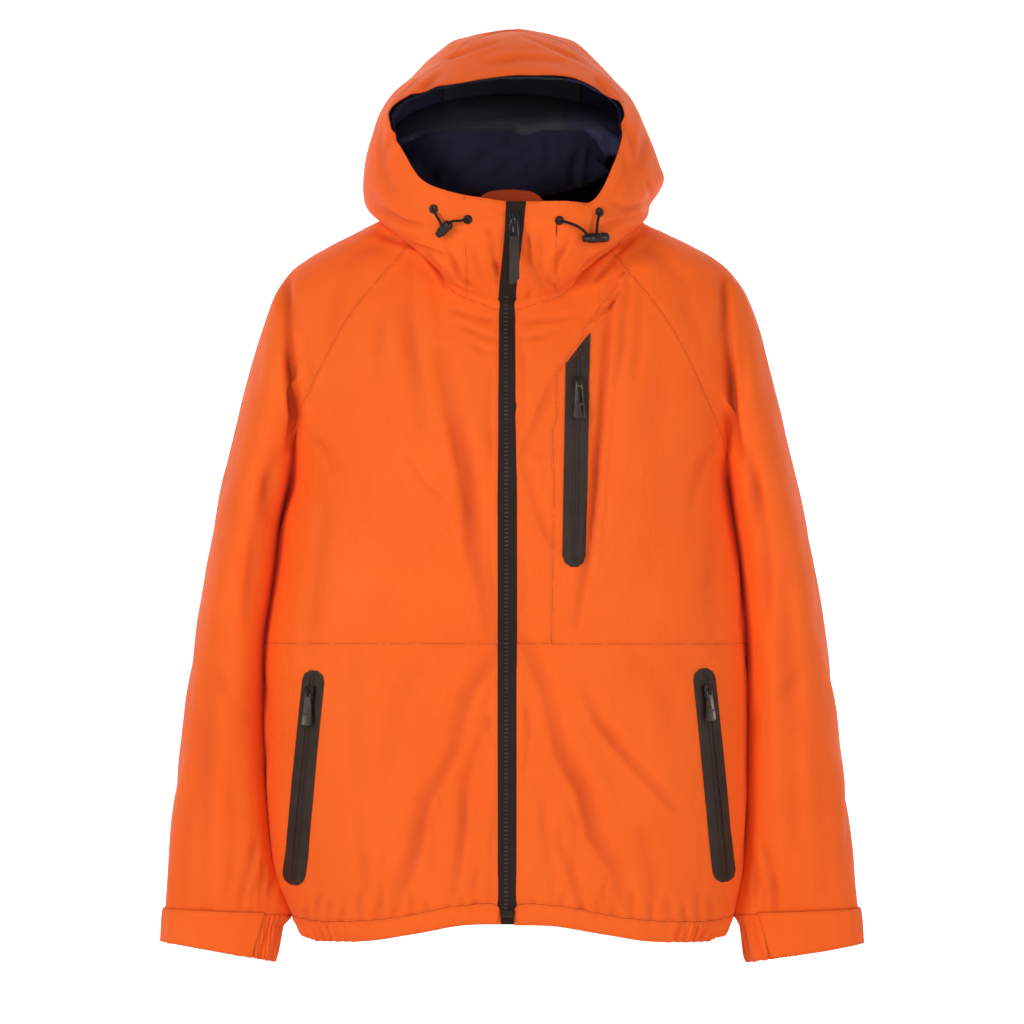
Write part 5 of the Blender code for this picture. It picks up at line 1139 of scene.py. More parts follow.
@dataclass
class Shell:
    """The outer shell: every panel from hood to hem seam, creased as one cloth."""

    cuts: tuple[Cut, ...] = (
        Cut("front_upper_left", 0.27, 0.42, 0.76),
        Cut("front_upper_right", 0.11, 0.37, 0.43),
        Cut("front_inset", 0.22, 0.4, 0.78),
        Cut("front_lower_left", 0.275, 0.285, 0.98),
        Cut("front_lower_right", 0.275, 0.285, 0.98),
        Cut("back", 0.56, 0.72, 0.84),
        Cut("sleeve_left", 0.44, 0.7, 0.66),
        Cut("sleeve_right", 0.44, 0.7, 0.66),
        Cut("hood_left", 0.3, 0.32, 0.68),
        Cut("hood_right", 0.3, 0.32, 0.68),
        Cut("hood_gusset", 0.24, 0.075, 0.72),
        Cut("collar_front_left", 0.046, 0.115, 0.8),
        Cut("collar_front_right", 0.046, 0.115, 0.8),
        Cut("main_zip_tape", 0.018, 0.735, 0.97),
    )
    wall: float = 0.9
    weld: float = 0.0016
    ripple: float = 0.75
    seam_depth: float = 0.35
    seam_swell: float = 0.2
    creases: tuple[Crease, ...] = CREASES + PUCKERS
    swells: tuple[Swell, ...] = (
        Swell((0, 185), (95, 40), (0, 4.2)), Swell((-54, 181), (20, 14), (-2, 1.6)),
        Swell((62, 179), (20, 14), (2, 1.6)), Swell((152, 44), (12, 9), (3.0, 0)),
        Swell((150, 16), (16, 12), (-8.0, 0)),
    )
    zip_edges: tuple[tuple[float, float, float], ...] = (
        (-720, -12.5, 4.7), (-80, -12.5, 4.7), (-68, -12.0, 5.0), (-46, -10.0, 8.0), (-25, -7.0, 11.0),
        (10, -5.5, 14.6), (22, -5.5, 16.4),
    )
    inner_reach: dict[str, tuple[tuple[float, float], ...]] = field(
        default_factory=lambda: {
            "left": (
                (210, 0), (240, 3), (340, 4), (400, 4.2), (590, 4.2), (640, 6), (660, 8), (682, 11), (700, 8),
            ),
            "right": (
                (210, 0), (240, 3), (340, 4), (400, 4.2), (590, 4.4), (640, 6), (660, 7.5), (682, 9),
                (700, 5),
            ),
        }
    )

    def build(self) -> "Shell":
        """Weld, round, crease and measure the cloth as one.

        Returns:
            The shell itself.
        """
        whole = bmesh.new()
        for number, cut in enumerate(self.cuts):
            sheet = sheet_of(cut.node, True, body_heart)
            for face in sheet.faces:
                face.material_index = number
                face.smooth = True
            step = bpy.data.meshes.new("step")
            sheet.to_mesh(step)
            sheet.free()
            whole.from_mesh(step)
            bpy.data.meshes.remove(step)
        bmesh.ops.remove_doubles(whole, verts=whole.verts[:], dist=self.weld)
        self.plain = BVHTree.FromBMesh(whole)
        self.set_strip(whole)
        relax_seams(whole)
        self.cloth = rounded(whole)
        self.close_gaps()
        self.swell()
        self.smooth = Ground(self.cloth)
        sliders = [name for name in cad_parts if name.endswith("_slider")]
        calm = [(Vector(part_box(name)[0]) + Vector(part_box(name)[1])) / 2 for name in sliders]
        crease(self.cloth, self.creases, self.ripple, calm)
        seam_lines(self.cloth, {len(self.cuts) - 1})
        self.hide_seams()
        self.sink_seams()
        self.ground = Ground(self.cloth)
        self.edge = self.edge_tree()
        LOG.info("shell cloth: %d faces", len(self.cloth.polygons))
        return self

    def set_strip(self, mesh: bmesh.types.BMesh) -> None:
        """Bring the zip strip's edges to their own line.

        Args:
            mesh: the welded panels.
        """
        strip = len(self.cuts) - 1
        heights, lefts, rights = zip(*self.zip_edges)
        for vertex in mesh.verts:
            owners = {face.material_index for face in vertex.link_faces}
            if strip in owners and len(owners) > 1:
                left = np.interp(vertex.co.z / MM, heights, lefts)
                right = np.interp(vertex.co.z / MM, heights, rights)
                x = left if vertex.co.x / MM < (left + right) / 2 else right
                vertex.co = self.plain.find_nearest(Vector((x * MM, vertex.co.y, vertex.co.z)))[0]

    def swell(self) -> None:
        """Fill out or draw in the cloth at single places."""
        points = read_points(self.cloth)
        for push in self.swells:
            off = (points[:, 0] / MM - push.place[0]) / push.reach[0]
            up = (points[:, 2] / MM - push.place[1]) / push.reach[1]
            share = np.exp(-(off**2) - up**2)
            points[:, 0] += push.shift[0] * share * MM
            points[:, 2] += push.shift[1] * share * MM
        write_points(self.cloth, points)

    def hide_seams(self) -> None:
        """Let the collar fronts' seams run out above the cord."""
        points = read_points(self.cloth) / MM
        near = (np.abs(np.abs(points[:, 0]) - 45) < 14) & (points[:, 1] < 0) & (points[:, 2] < 19)
        gaps = read_layer(self.cloth, "seam_gap") + near * fade(points[:, 2], -22, -16) * 0.006
        self.cloth.attributes["seam_gap"].data.foreach_set("value", gaps)

    def edge_tree(self) -> KDTree:
        """The cloth's open edges as closely spaced points."""
        points = self.cloth.vertices
        return point_tree(
            [points[a].co.lerp(points[b].co, i / 6) for a, b in open_edges(self.cloth) for i in range(6)]
        )

    def hang(self, data: bpy.types.Mesh, near: float = 0.009, reach: float = 0.012) -> None:
        """Bring a casing's upper edge to the cloth's own lower edge.

        Args:
            data: the casing's rounded sheet.
            near: how far apart the two edges may lie, in metres.
            reach: how far from that edge the casing gives way, in metres.
        """
        moves: list[tuple[Vector, Vector]] = []
        for v in dict.fromkeys(v for pair in open_edges(data) for v in pair):
            place = data.vertices[v].co
            spot, _, distance = self.edge.find(place)
            if distance < near:
                moves.append((place.copy(), spot - place))
        tree = point_tree([place for place, _ in moves])
        for vertex in data.vertices:
            _, index, distance = tree.find(vertex.co)
            share = max(0.0, 1 - distance / reach)
            vertex.co += moves[index][1] * share * share * (3 - 2 * share)
        data.update()

    def close_gaps(self) -> None:
        """Let the sleeves' inner sides lie against the body."""
        points, normals = read_points(self.cloth), read_normals(self.cloth)
        for name, sign in SIDES.items():
            number = [cut.node for cut in self.cuts].index("sleeve_" + name)
            own = np.zeros(len(points), dtype=bool)
            for face in self.cloth.polygons:
                if face.material_index == number:
                    own[list(face.vertices)] = True
            heights, reaches = zip(*self.inner_reach[name])
            reach = np.interp(-points[:, 2] * 1000, heights, reaches)
            share = fade(-sign * normals[:, 0], 0.0, 0.75) * own * (sign * points[:, 0] > 0.18)
            points[:, 0] -= sign * reach * share * MM
        write_points(self.cloth, points)

    def sink_seams(self) -> None:
        """Draw the cloth in along its seams."""
        points, normals = read_points(self.cloth), read_normals(self.cloth)
        gaps = read_layer(self.cloth, "seam_gap") * 1000
        groove = self.seam_depth * np.exp(-((gaps / 1.6) ** 2))
        beside = self.seam_swell * np.exp(-(((gaps - 4) / 2.4) ** 2))
        write_points(self.cloth, points - normals * (groove - beside)[:, None] * MM)

    def carry(self, place: Vector, sink: float = 0.0) -> Vector:
        """Where a point on or above the frame's plain cloth goes over the creased cloth.

        Args:
            place: the point.
            sink: how much lower it lies, in millimetres.

        Returns:
            The moved point.
        """
        near, outward, _, distance = self.plain.find_nearest(place)
        height = (distance if (place - near).dot(outward) > 0 else -distance) - sink * MM
        round_one, _, index, _ = self.smooth.tree.find_nearest(near)
        normal = self.smooth.normal(index, round_one)
        hit = self.ground.tree.ray_cast(round_one + normal * 0.015, -normal, 0.03)[0]
        return (hit or round_one) + normal * height

    def dress(self, finishes: Finishes) -> None:
        """Part the cloth along its seams and finish each panel.

        Args:
            finishes: the materials.
        """
        for number, cut in enumerate(self.cuts):
            mesh = bmesh.new()
            mesh.from_mesh(self.cloth)
            others = [f for f in mesh.faces if f.material_index != number]
            bmesh.ops.delete(mesh, geom=others, context="FACES")
            for face in mesh.faces:
                face.material_index = 0
            panel = link_mesh("cloth_" + cut.node, mesh, 180.0)
            sharpen_rim(panel.data)
            thickness = add_wall(panel, self.wall)
            finish = TAPE if cut.node == "main_zip_tape" else ORANGE
            finishes.dress(panel, finish, [cut.node])
            if cut.node.startswith(("hood", "collar")):
                panel.data.materials.append(finishes.material(NAVY))
                thickness.material_offset = 1


class Ground:
    """The creased cloth as a place to lay things on."""

    def __init__(self, data: bpy.types.Mesh) -> None:
        """Keep the cloth's faces and normals for looking up."""
        mesh = bmesh.new()
        mesh.from_mesh(data)
        bmesh.ops.triangulate(mesh, faces=mesh.faces[:])
        self.tree = BVHTree.FromBMesh(mesh)
        self.faces = [
            ([v.co.copy() for v in f.verts], [v.normal.copy() for v in f.verts]) for f in mesh.faces
        ]
        mesh.free()

    def at(self, x: float, z: float) -> tuple[Vector, Vector]:
        """The cloth's point and normal at a place in front view.

        Args:
            x: across, in millimetres.
            z: height, in millimetres.

        Returns:
            The point and its outward normal.
        """
        point, _, index, _ = self.tree.ray_cast(Vector((x * MM, -0.5, z * MM)), Vector((0, 1, 0)))
        if point is None:
            point, _, index, _ = self.tree.find_nearest(Vector((x * MM, -0.1, z * MM)))
        return point, self.normal(index, point)

    def normal(self, index: int, point: Vector) -> Vector:
        """The smooth normal inside a face.

        Args:
            index: the face.
            point: a point on it.

        Returns:
            The unit normal.
        """
        (a, b, c), (na, nb, nc) = self.faces[index]
        area = (b - a).cross(c - a)
        total = max(area.dot(area), 1e-20)
        u = (c - b).cross(point - b).dot(area) / total
        v = (a - c).cross(point - c).dot(area) / total
        return (na * u + nb * v + nc * (1 - u - v)).normalized()


# ---------------------------------------------------------------- gathered casings and tabs


@dataclass
class Casings:
    """The gathered hem casing and cuffs, and the tabs that close the cuffs."""

    shell: Shell
    hems: tuple[Cut, ...] = (
        Cut("hem_front_left", 0.26, 0.021, 0.95),
        Cut("hem_front_right", 0.26, 0.021, 0.95),
        Cut("hem_back", 0.52, 0.021, 0.97),
    )
    cuffs: tuple[Cut, ...] = (Cut("cuff_left", 0.27, 0.042, 0.95), Cut("cuff_right", 0.27, 0.042, 0.95))
    tabs: tuple[Cut, ...] = (
        Cut("cuff_tab_left", 0.14, 0.037, 0.85), Cut("cuff_tab_right", 0.14, 0.037, 0.85),
    )
    wall: float = 1.0
    tab_wall: float = 1.6
    pitch: float = 6.4
    depth: float = 2.5
    puff: float = 0.7
    drop: float = 3.6

    def build(self, finishes: Finishes) -> None:
        """Round, crumple and finish each casing and tab.

        Args:
            finishes: the materials.
        """
        for cut in self.hems + self.cuffs:
            heart = self.cuff_heart(cut.node) if "cuff" in cut.node else body_heart
            mesh = sheet_of(cut.node, True, heart, 74.0)
            self.finish(finishes, cut, mesh, 0.3, self.wall)
        for cut in self.tabs:
            mesh = sheet_of(cut.node, True, self.cuff_heart(cut.node), 60.0)
            self.finish(finishes, cut, mesh, 0.35, self.tab_wall)

    def cuff_heart(self, node: str) -> Callable[[Vector], Vector]:
        """The middle of the sleeve's end.

        Args:
            node: the cuff or tab.

        Returns:
            A function that gives the middle at a point's height.
        """
        low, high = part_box(node.replace("_tab", ""))
        middle = (Vector(low) + Vector(high)) / 2
        return lambda place: Vector((middle.x, middle.y, place.z))

    def gather(self, data: bpy.types.Mesh, node: str) -> None:
        """Puff a casing and draw it into uneven gathers.

        Args:
            data: its rounded sheet.
            node: the frame's solid.
        """
        points, normals = read_points(data), read_normals(data)
        gaps = read_layer(data, "seam_gap") * 1000
        hem = node.startswith("hem")
        middle = np.zeros(2) if hem else points[:, :2].mean(axis=0)
        angle = np.arctan2(points[:, 1] - middle[1], points[:, 0] - middle[0])
        order = np.argsort(angle)
        reach = np.hypot(points[:, 0] - middle[0], points[:, 1] - middle[1])
        run = np.zeros(len(points))
        run[order[1:]] = np.cumsum(np.abs(np.diff(angle[order])) * reach[order][1:])
        run *= 1000 / self.pitch
        wave = run + 0.9 * np.sin(run * 0.71) + 0.6 * np.sin(run * 0.27 + 1)
        ridge = np.abs(np.sin(np.pi * wave)) ** 0.8
        share = fade(np.abs(points[:, 0]) * 1000, 150, 172) if hem else np.ones(len(points))
        edge = 0.35 + 0.65 * fade(gaps, 0, 3.0)
        puff = 1 - np.exp(-gaps / 2.5)
        rise = self.puff * puff + self.depth * (ridge - 0.6) * share * edge
        write_points(data, points + normals * rise[:, None] * MM)

    def finish(
        self, finishes: Finishes, cut: Cut, mesh: bmesh.types.BMesh, ripple: float, wall: float
    ) -> None:
        """Round one piece and give it its wall and cloth.

        Args:
            finishes: the materials.
            cut: the piece's flat cut.
            mesh: its outer sheet, freed here.
            ripple: the height of its small unevenness, in millimetres.
            wall: its thickness, in millimetres.
        """
        if cut.node.endswith("_right") and "cuff" in cut.node:
            low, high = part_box(cut.node)
            for vertex in mesh.verts:
                outer = (vertex.co.x - low[0]) / (high[0] - low[0])
                below = (high[2] - vertex.co.z) / (high[2] - low[2])
                vertex.co.z -= self.drop * MM * min(outer * 1.6, 1.0) * below
        fine = rounded(mesh)
        crease(fine, (), ripple)
        gathered = "tab" not in cut.node
        if gathered:
            self.shell.hang(fine)
        seam_lines(fine, set())
        if gathered:
            self.gather(fine, cut.node)
        piece = finishes.dress(walled_sheet(cut.node, fine, wall), ORANGE, [cut.node])


# ---------------------------------------------------------------- lining


@dataclass
class Lining:
    """The hood's lining where it shows, and the guard behind the zip's top."""

    walls: tuple[tuple[Cut, Cloth], ...] = (
        (Cut("hood_lining_left", 0.19, 0.17, 0.7), NAVY_WALL_PAINTED_LIGHT),
        (Cut("hood_lining_centre", 0.13, 0.2, 0.92), BLACK_WITH_PAINTED_LIGHT),
        (Cut("hood_lining_right", 0.19, 0.17, 0.7), NAVY_WALL_PAINTED_LIGHT),
    )
    wall: float = 0.8
    clear: float = 2.4
    ripple: float = 1.6
    roll: Cut = Cut("hood_lining_roll", 0.27, 0.2, 0.86)
    guard: Cut = Cut("chin_guard", 0.056, 0.028, 0.83)
    roll_top: tuple[tuple[float, float], ...] = (
        (-102, 80), (-86, 87), (-52, 94), (2, 94), (10, 87), (18, 87), (30, 92), (72, 91), (84, 82), (94, 66),
    )
    black_span: tuple[float, float] = (-66, 52)
    roll_creases: tuple[Crease, ...] = (
        Crease(((-98, 84), (-86, 90), (-52, 97), (2, 97), (14, 90), (30, 95), (72, 94), (86, 84)), 2.6, -3.2),
        Crease(((-60, 90), (-64, 66), (-84, 40)), 6.0, -3.0),
        Crease(((-20, 88), (-34, 60), (-70, 36)), 6.0, -2.4),
        Crease(((4, 92), (-6, 80), (-30, 62)), 4.0, -2.6),
        Crease(((26, 80), (14, 66), (-20, 44)), 4.0, -1.6),
        Crease(((66, 70), (62, 50), (66, 32)), 4.5, -2.6),
        Crease(((74, 78), (72, 54), (70, 36)), 4.5, 2.2),
        Crease(((36, 88), (38, 70), (30, 50)), 5.0, -2.0),
        Crease(((-92, 66), (-84, 50), (-76, 36)), 5.0, -2.4),
    )

    def build(self, finishes: Finishes) -> None:
        """Make the lining's walls, its slumped roll and the guard.

        Args:
            finishes: the materials.
        """
        for cut, finish in self.walls:
            self.make(finishes, cut, finish, False, body_heart, (), self.ripple)
        roll = self.make(
            finishes, self.roll, NAVY, True, lambda p: Vector((p.x, 0.06, 0.045)), self.roll_creases,
            self.ripple,
        )
        self.part_roll(finishes, roll)
        # the guard wears the darker copy of the shell orange, its shade painted in
        self.make(finishes, self.guard, PAINTED_SHADE_GUARD_ORANGE, True, lambda p: Vector((0, 0.1, p.z)), (), 0.3)

    def make(
        self, finishes: Finishes, cut: Cut, finish: Cloth, outward: bool, heart: Callable[[Vector], Vector],
        creases: Sequence[Crease], ripple: float,
    ) -> bpy.types.Object:
        """Make one lining piece from the sheet that shows.

        Args:
            finishes: the materials.
            cut: its flat cut.
            finish: its cloth.
            outward: whether the sheet that shows faces away from the heart.
            heart: the heart for this piece.
            creases: its folds.
            ripple: the height of its slow unevenness, in millimetres.

        Returns:
            The piece.
        """
        fine = rounded(sheet_of(cut.node, outward, heart))
        crease(fine, creases, ripple)
        if not outward:
            write_points(fine, read_points(fine) + read_normals(fine) * self.clear * MM)
        seam_lines(fine, set())
        piece = finishes.dress(walled_sheet(cut.node, fine, self.wall), finish, [cut.node])
        return piece

    def part_roll(self, finishes: Finishes, roll: bpy.types.Object) -> None:
        """Let the cloth behind the roll's top line look like the walls above it.

        Args:
            finishes: the materials.
            roll: the roll's piece.
        """
        for finish in (BLACK_WITH_PAINTED_LIGHT, NAVY_WALL_PAINTED_LIGHT):
            roll.data.materials.append(finishes.material(finish))
        across, tops = zip(*self.roll_top)
        for face in roll.data.polygons:
            x, _, z = face.center / MM
            if z > np.interp(x, across, tops):
                face.material_index = 1 if self.black_span[0] < x < self.black_span[1] else 2


# ---------------------------------------------------------------- trims


def node_mesh(node: str) -> bmesh.types.BMesh:
    """A merged copy of one of the frame's solids.

    Args:
        node: the solid's name.

    Returns:
        The copy, its flat faces whole.
    """
    mesh = bmesh.new()
    mesh.from_mesh(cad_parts[node].data)
    bmesh.ops.remove_doubles(mesh, verts=mesh.verts[:], dist=2e-6)
    bmesh.ops.dissolve_limit(mesh, angle_limit=math.radians(1.5), verts=mesh.verts[:], edges=mesh.edges[:])
    return mesh


def soften(mesh: bmesh.types.BMesh, width: float, angle: float = 32.0, segments: int = 3) -> None:
    """Round a mesh's sharp edges.

    Args:
        mesh: the shape.
        width: the rounding's width, in millimetres.
        angle: the least angle of an edge to round, in degrees.
        segments: the faces across it.
    """
    sharp = [e for e in mesh.edges if len(e.link_faces) == 2 and e.calc_face_angle(0.0) > math.radians(angle)]
    bmesh.ops.bevel(
        mesh, geom=sharp, offset=width * MM, offset_type="OFFSET", segments=segments, profile=0.5,
        affect="EDGES", clamp_overlap=True, material=-1,
    )


def add_bar(mesh: bmesh.types.BMesh, middle: Vector, axes: Sequence[Vector], sizes: Sequence[float]) -> None:
    """Add a small bar to a mesh.

    Args:
        mesh: the mesh.
        middle: the bar's middle, in metres.
        axes: the directions of its sides.
        sizes: its sizes along them, in millimetres.
    """
    turn = Matrix([axis * size * MM for axis, size in zip(axes, sizes)]).transposed()
    for vertex in bmesh.ops.create_cube(mesh, size=1.0)["verts"]:
        vertex.co = middle + turn @ vertex.co


def lathe(
    profile: Sequence[tuple[float, float]], start: Vector, axis: Vector, steps: int = 36
) -> bmesh.types.BMesh:
    """A turned solid.

    Args:
        profile: radius and distance along the axis of each ring, in millimetres.
        start: the point on the axis that distances are measured from.
        axis: the turning axis.
        steps: the faces round it.

    Returns:
        The solid.
    """
    axis = axis.normalized()
    aside = axis.orthogonal().normalized()
    mesh = bmesh.new()
    chain = [mesh.verts.new(start + (aside * radius + axis * along) * MM) for radius, along in profile]
    edges = [mesh.edges.new(pair) for pair in zip(chain, chain[1:])]
    bmesh.ops.spin(
        mesh, geom=chain + edges, cent=start, axis=axis, angle=math.tau, steps=steps, use_merge=True
    )
    bmesh.ops.remove_doubles(mesh, verts=mesh.verts[:], dist=1e-6)
    bmesh.ops.recalc_face_normals(mesh, faces=mesh.faces[:])
    return mesh


def volume(data: bpy.types.Mesh) -> float:
    """A closed mesh's volume, in cubic metres."""
    mesh = bmesh.new()
    mesh.from_mesh(data)
    found = mesh.calc_volume()
    mesh.free()
    return found


def smooth_path(route: Sequence[Vector], steps: int = 64, between: int = 12) -> list[Vector]:
    """A smooth line through points, evenly spaced.

    Args:
        route: the points to pass through.
        steps: how many pieces the line gets.
        between: how finely the curve between two of the points is followed.

    Returns:
        The points of the line.
    """
    fine: list[Vector] = []
    ends = [route[0] * 2 - route[1], *route, route[-1] * 2 - route[-2]]
    for a, b, c, d in zip(ends, ends[1:], ends[2:], ends[3:]):
        for i in range(between):
            t = i / between
            bend, twist = 2 * a - 5 * b + 4 * c - d, 3 * b - a - 3 * c + d
            fine.append(0.5 * (2 * b + (c - a) * t + bend * t * t + twist * t**3))
    fine.append(route[-1].copy())
    lengths = [0.0]
    for a, b in zip(fine, fine[1:]):
        lengths.append(lengths[-1] + (b - a).length)
    line, k = [], 0
    for i in range(steps + 1):
        want = lengths[-1] * i / steps
        while k < len(fine) - 2 and lengths[k + 1] < want:
            k += 1
        line.append(fine[k].lerp(fine[k + 1], (want - lengths[k]) / max(lengths[k + 1] - lengths[k], 1e-9)))
    return line


def tube(line: Sequence[Vector], radius: float, sides: int = 14) -> bmesh.types.BMesh:
    """A closed round tube along a line, made by drawing out a circle.

    Args:
        line: its centreline, in metres.
        radius: its radius, in millimetres.
        sides: the faces round it.

    Returns:
        The tube.
    """
    mesh = bmesh.new()
    aside = (line[1] - line[0]).orthogonal().normalized()
    ring = bmesh.ops.create_circle(mesh, cap_ends=True, segments=sides, radius=radius * MM)["verts"]
    face = next(iter(mesh.faces))
    for i, point in enumerate(line):
        ahead = (line[min(i + 1, len(line) - 1)] - line[max(i - 1, 0)]).normalized()
        aside = (aside - ahead * aside.dot(ahead)).normalized()
        other = ahead.cross(aside)
        if i:
            # only the first circle stays behind, as the tube's end
            made = bmesh.ops.extrude_face_region(mesh, geom=[face], use_keep_orig=(i == 1))
            face = next(g for g in made["geom"] if isinstance(g, bmesh.types.BMFace))
            ring = list(face.verts)
        for k, vertex in enumerate(ring):
            turn = math.tau * k / sides
            vertex.co = point + (aside * math.cos(turn) + other * math.sin(turn)) * radius * MM
    bmesh.ops.recalc_face_normals(mesh, faces=mesh.faces[:])
    return mesh


@dataclass(frozen=True)
class PocketPlan:
    """One zipped pocket's line in front view, in millimetres, and how far its strip starts below."""

    name: str
    top: tuple[float, float]
    bottom: tuple[float, float]
    head: float
    slant: float


class Trims:
    """What is laid on the creased cloth: bands, zips, eyelets, cords and locks."""

    def __init__(self, shell: Shell, finishes: Finishes) -> None:
        """Keep the cloth to lay things on and the materials."""
        self.shell = shell
        self.ground = shell.ground
        self.finishes = finishes

    def carried(
        self, node: str, finish: Moulded, round_off: float, sink: float, step: float = 4.0
    ) -> bpy.types.Object:
        """A soft trim that follows the cloth's folds everywhere.

        Args:
            node: the frame's solid.
            finish: its material.
            round_off: its edges' rounding, in millimetres.
            sink: how much closer to the cloth it lies than the solid, in millimetres.
            step: the longest edge left on it, in millimetres.

        Returns:
            The piece.
        """
        mesh = node_mesh(node)
        soften(mesh, round_off, 50.0)
        bmesh.ops.triangulate(mesh, faces=mesh.faces[:])
        for _ in range(4):
            long_ones = [e for e in mesh.edges if e.calc_length() > step * MM]
            if not long_ones:
                break
            bmesh.ops.subdivide_edges(mesh, edges=long_ones, cuts=1, use_grid_fill=False)
            bmesh.ops.triangulate(mesh, faces=[f for f in mesh.faces if len(f.verts) > 4])
        for vertex in mesh.verts:
            vertex.co = self.shell.carry(vertex.co, sink)
        return self.finishes.dress(link_mesh("trim_" + node, mesh, 50.0), finish, [node])

    def hard(self, node: str, finish: Moulded, round_off: float, anchor: Vector) -> bpy.types.Object:
        """A hard trim that moves as one with the cloth under it.

        Args:
            node: the frame's solid.
            finish: its material.
            round_off: its edges' rounding, in millimetres.
            anchor: the point whose cloth it stands on.

        Returns:
            The piece.
        """
        mesh = node_mesh(node)
        bmesh.ops.translate(mesh, vec=self.shift(anchor), verts=mesh.verts[:])
        soften(mesh, round_off)
        return self.finishes.dress(link_mesh("trim_" + node, mesh, 30.0), finish, [node])

    def shift(self, anchor: Vector) -> Vector:
        """How far a hard trim moves with the cloth at its anchor."""
        return self.shell.carry(anchor) - anchor

    def anchor(self, node: str) -> Vector:
        """The middle of a solid's box."""
        low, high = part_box(node)
        return (Vector(low) + Vector(high)) / 2


@dataclass
class MainZip:
    """The front zip's coil, slider, pull and stop."""

    coil_top: float = -76.0
    coil_end: float = -694.0
    pitch: float = 4.05
    tooth: tuple[float, float, float] = (4.0, 1.1, 1.5)
    tooth_lift: float = 0.1
    tooth_round: float = 0.5
    grip_top: float = -15.5
    longer: float = 0.11
    line: tuple[tuple[float, float], ...] = (
        (-60, -3.4), (-80, -5.0), (-120, -5.2), (-300, -4.5), (-694, -5.0),
    )

    def build(self, trims: Trims) -> None:
        """Lay the coil down the strip and dress the slider and its pull.

        Args:
            trims: where the trims are laid.
        """
        coil = bmesh.new()
        for row in range(math.ceil((self.coil_top - self.coil_end) / self.pitch)):
            z = self.coil_top - row * self.pitch
            point, normal = trims.ground.at(self.middle(z), z)
            aside = Vector((1, 0, 0.12 if row % 2 else -0.05)).normalized()
            up = normal.cross(aside).normalized()
            add_bar(coil, point + normal * self.tooth_lift * MM, (aside, normal, up), self.tooth)
        soften(coil, self.tooth_round, segments=2)
        trims.finishes.dress(link_mesh("main_zip_coil", coil, 60.0), COIL, [])
        anchor = trims.anchor("main_zip_slider")
        trims.hard("main_zip_slider", GLOSS, 0.35, anchor)
        self.build_pull(trims, anchor)
        trims.hard("main_zip_stop", METAL, 0.35, trims.anchor("main_zip_stop"))

    def build_pull(self, trims: Trims, anchor: Vector) -> None:
        """Part the pull into its metal frame and the longer rubber grip under it.

        Args:
            trims: where the trims are laid.
            anchor: the point whose cloth it stands on.
        """
        for name, finish, upper in (("pull_frame", GLOSS, True), ("pull_grip", RUBBER, False)):
            mesh = node_mesh("main_zip_pull")
            bmesh.ops.bisect_plane(
                mesh, geom=mesh.verts[:] + mesh.edges[:] + mesh.faces[:], dist=1e-6,
                plane_co=(0, 0, self.grip_top * MM), plane_no=(0, 0, 1), clear_outer=not upper,
                clear_inner=upper,
            )
            rim = [e for e in mesh.edges if e.is_boundary]
            bmesh.ops.holes_fill(mesh, edges=rim, sides=0)
            if upper:
                front = min(mesh.faces, key=lambda f: f.normal.y * f.calc_area())
                bmesh.ops.inset_region(mesh, faces=[front], thickness=1.7 * MM, depth=-0.7 * MM)
            else:
                for vertex in mesh.verts:
                    vertex.co.z += (vertex.co.z / MM - self.grip_top) * self.longer * MM
                    vertex.co.y -= 0.0003 if vertex.co.y < anchor.y - 0.003 else 0.0
            bmesh.ops.translate(mesh, vec=trims.shift(anchor), verts=mesh.verts[:])
            soften(mesh, 0.45)
            trims.finishes.dress(
                link_mesh("main_zip_" + name, mesh, 30.0), finish, ["main_zip_pull"], "main_zip_pull_tab"
            )

    def middle(self, z: float) -> float:
        """The coil's place across, at a height, in millimetres."""
        heights, places = zip(*reversed(self.line))
        return float(np.interp(z, heights, places))


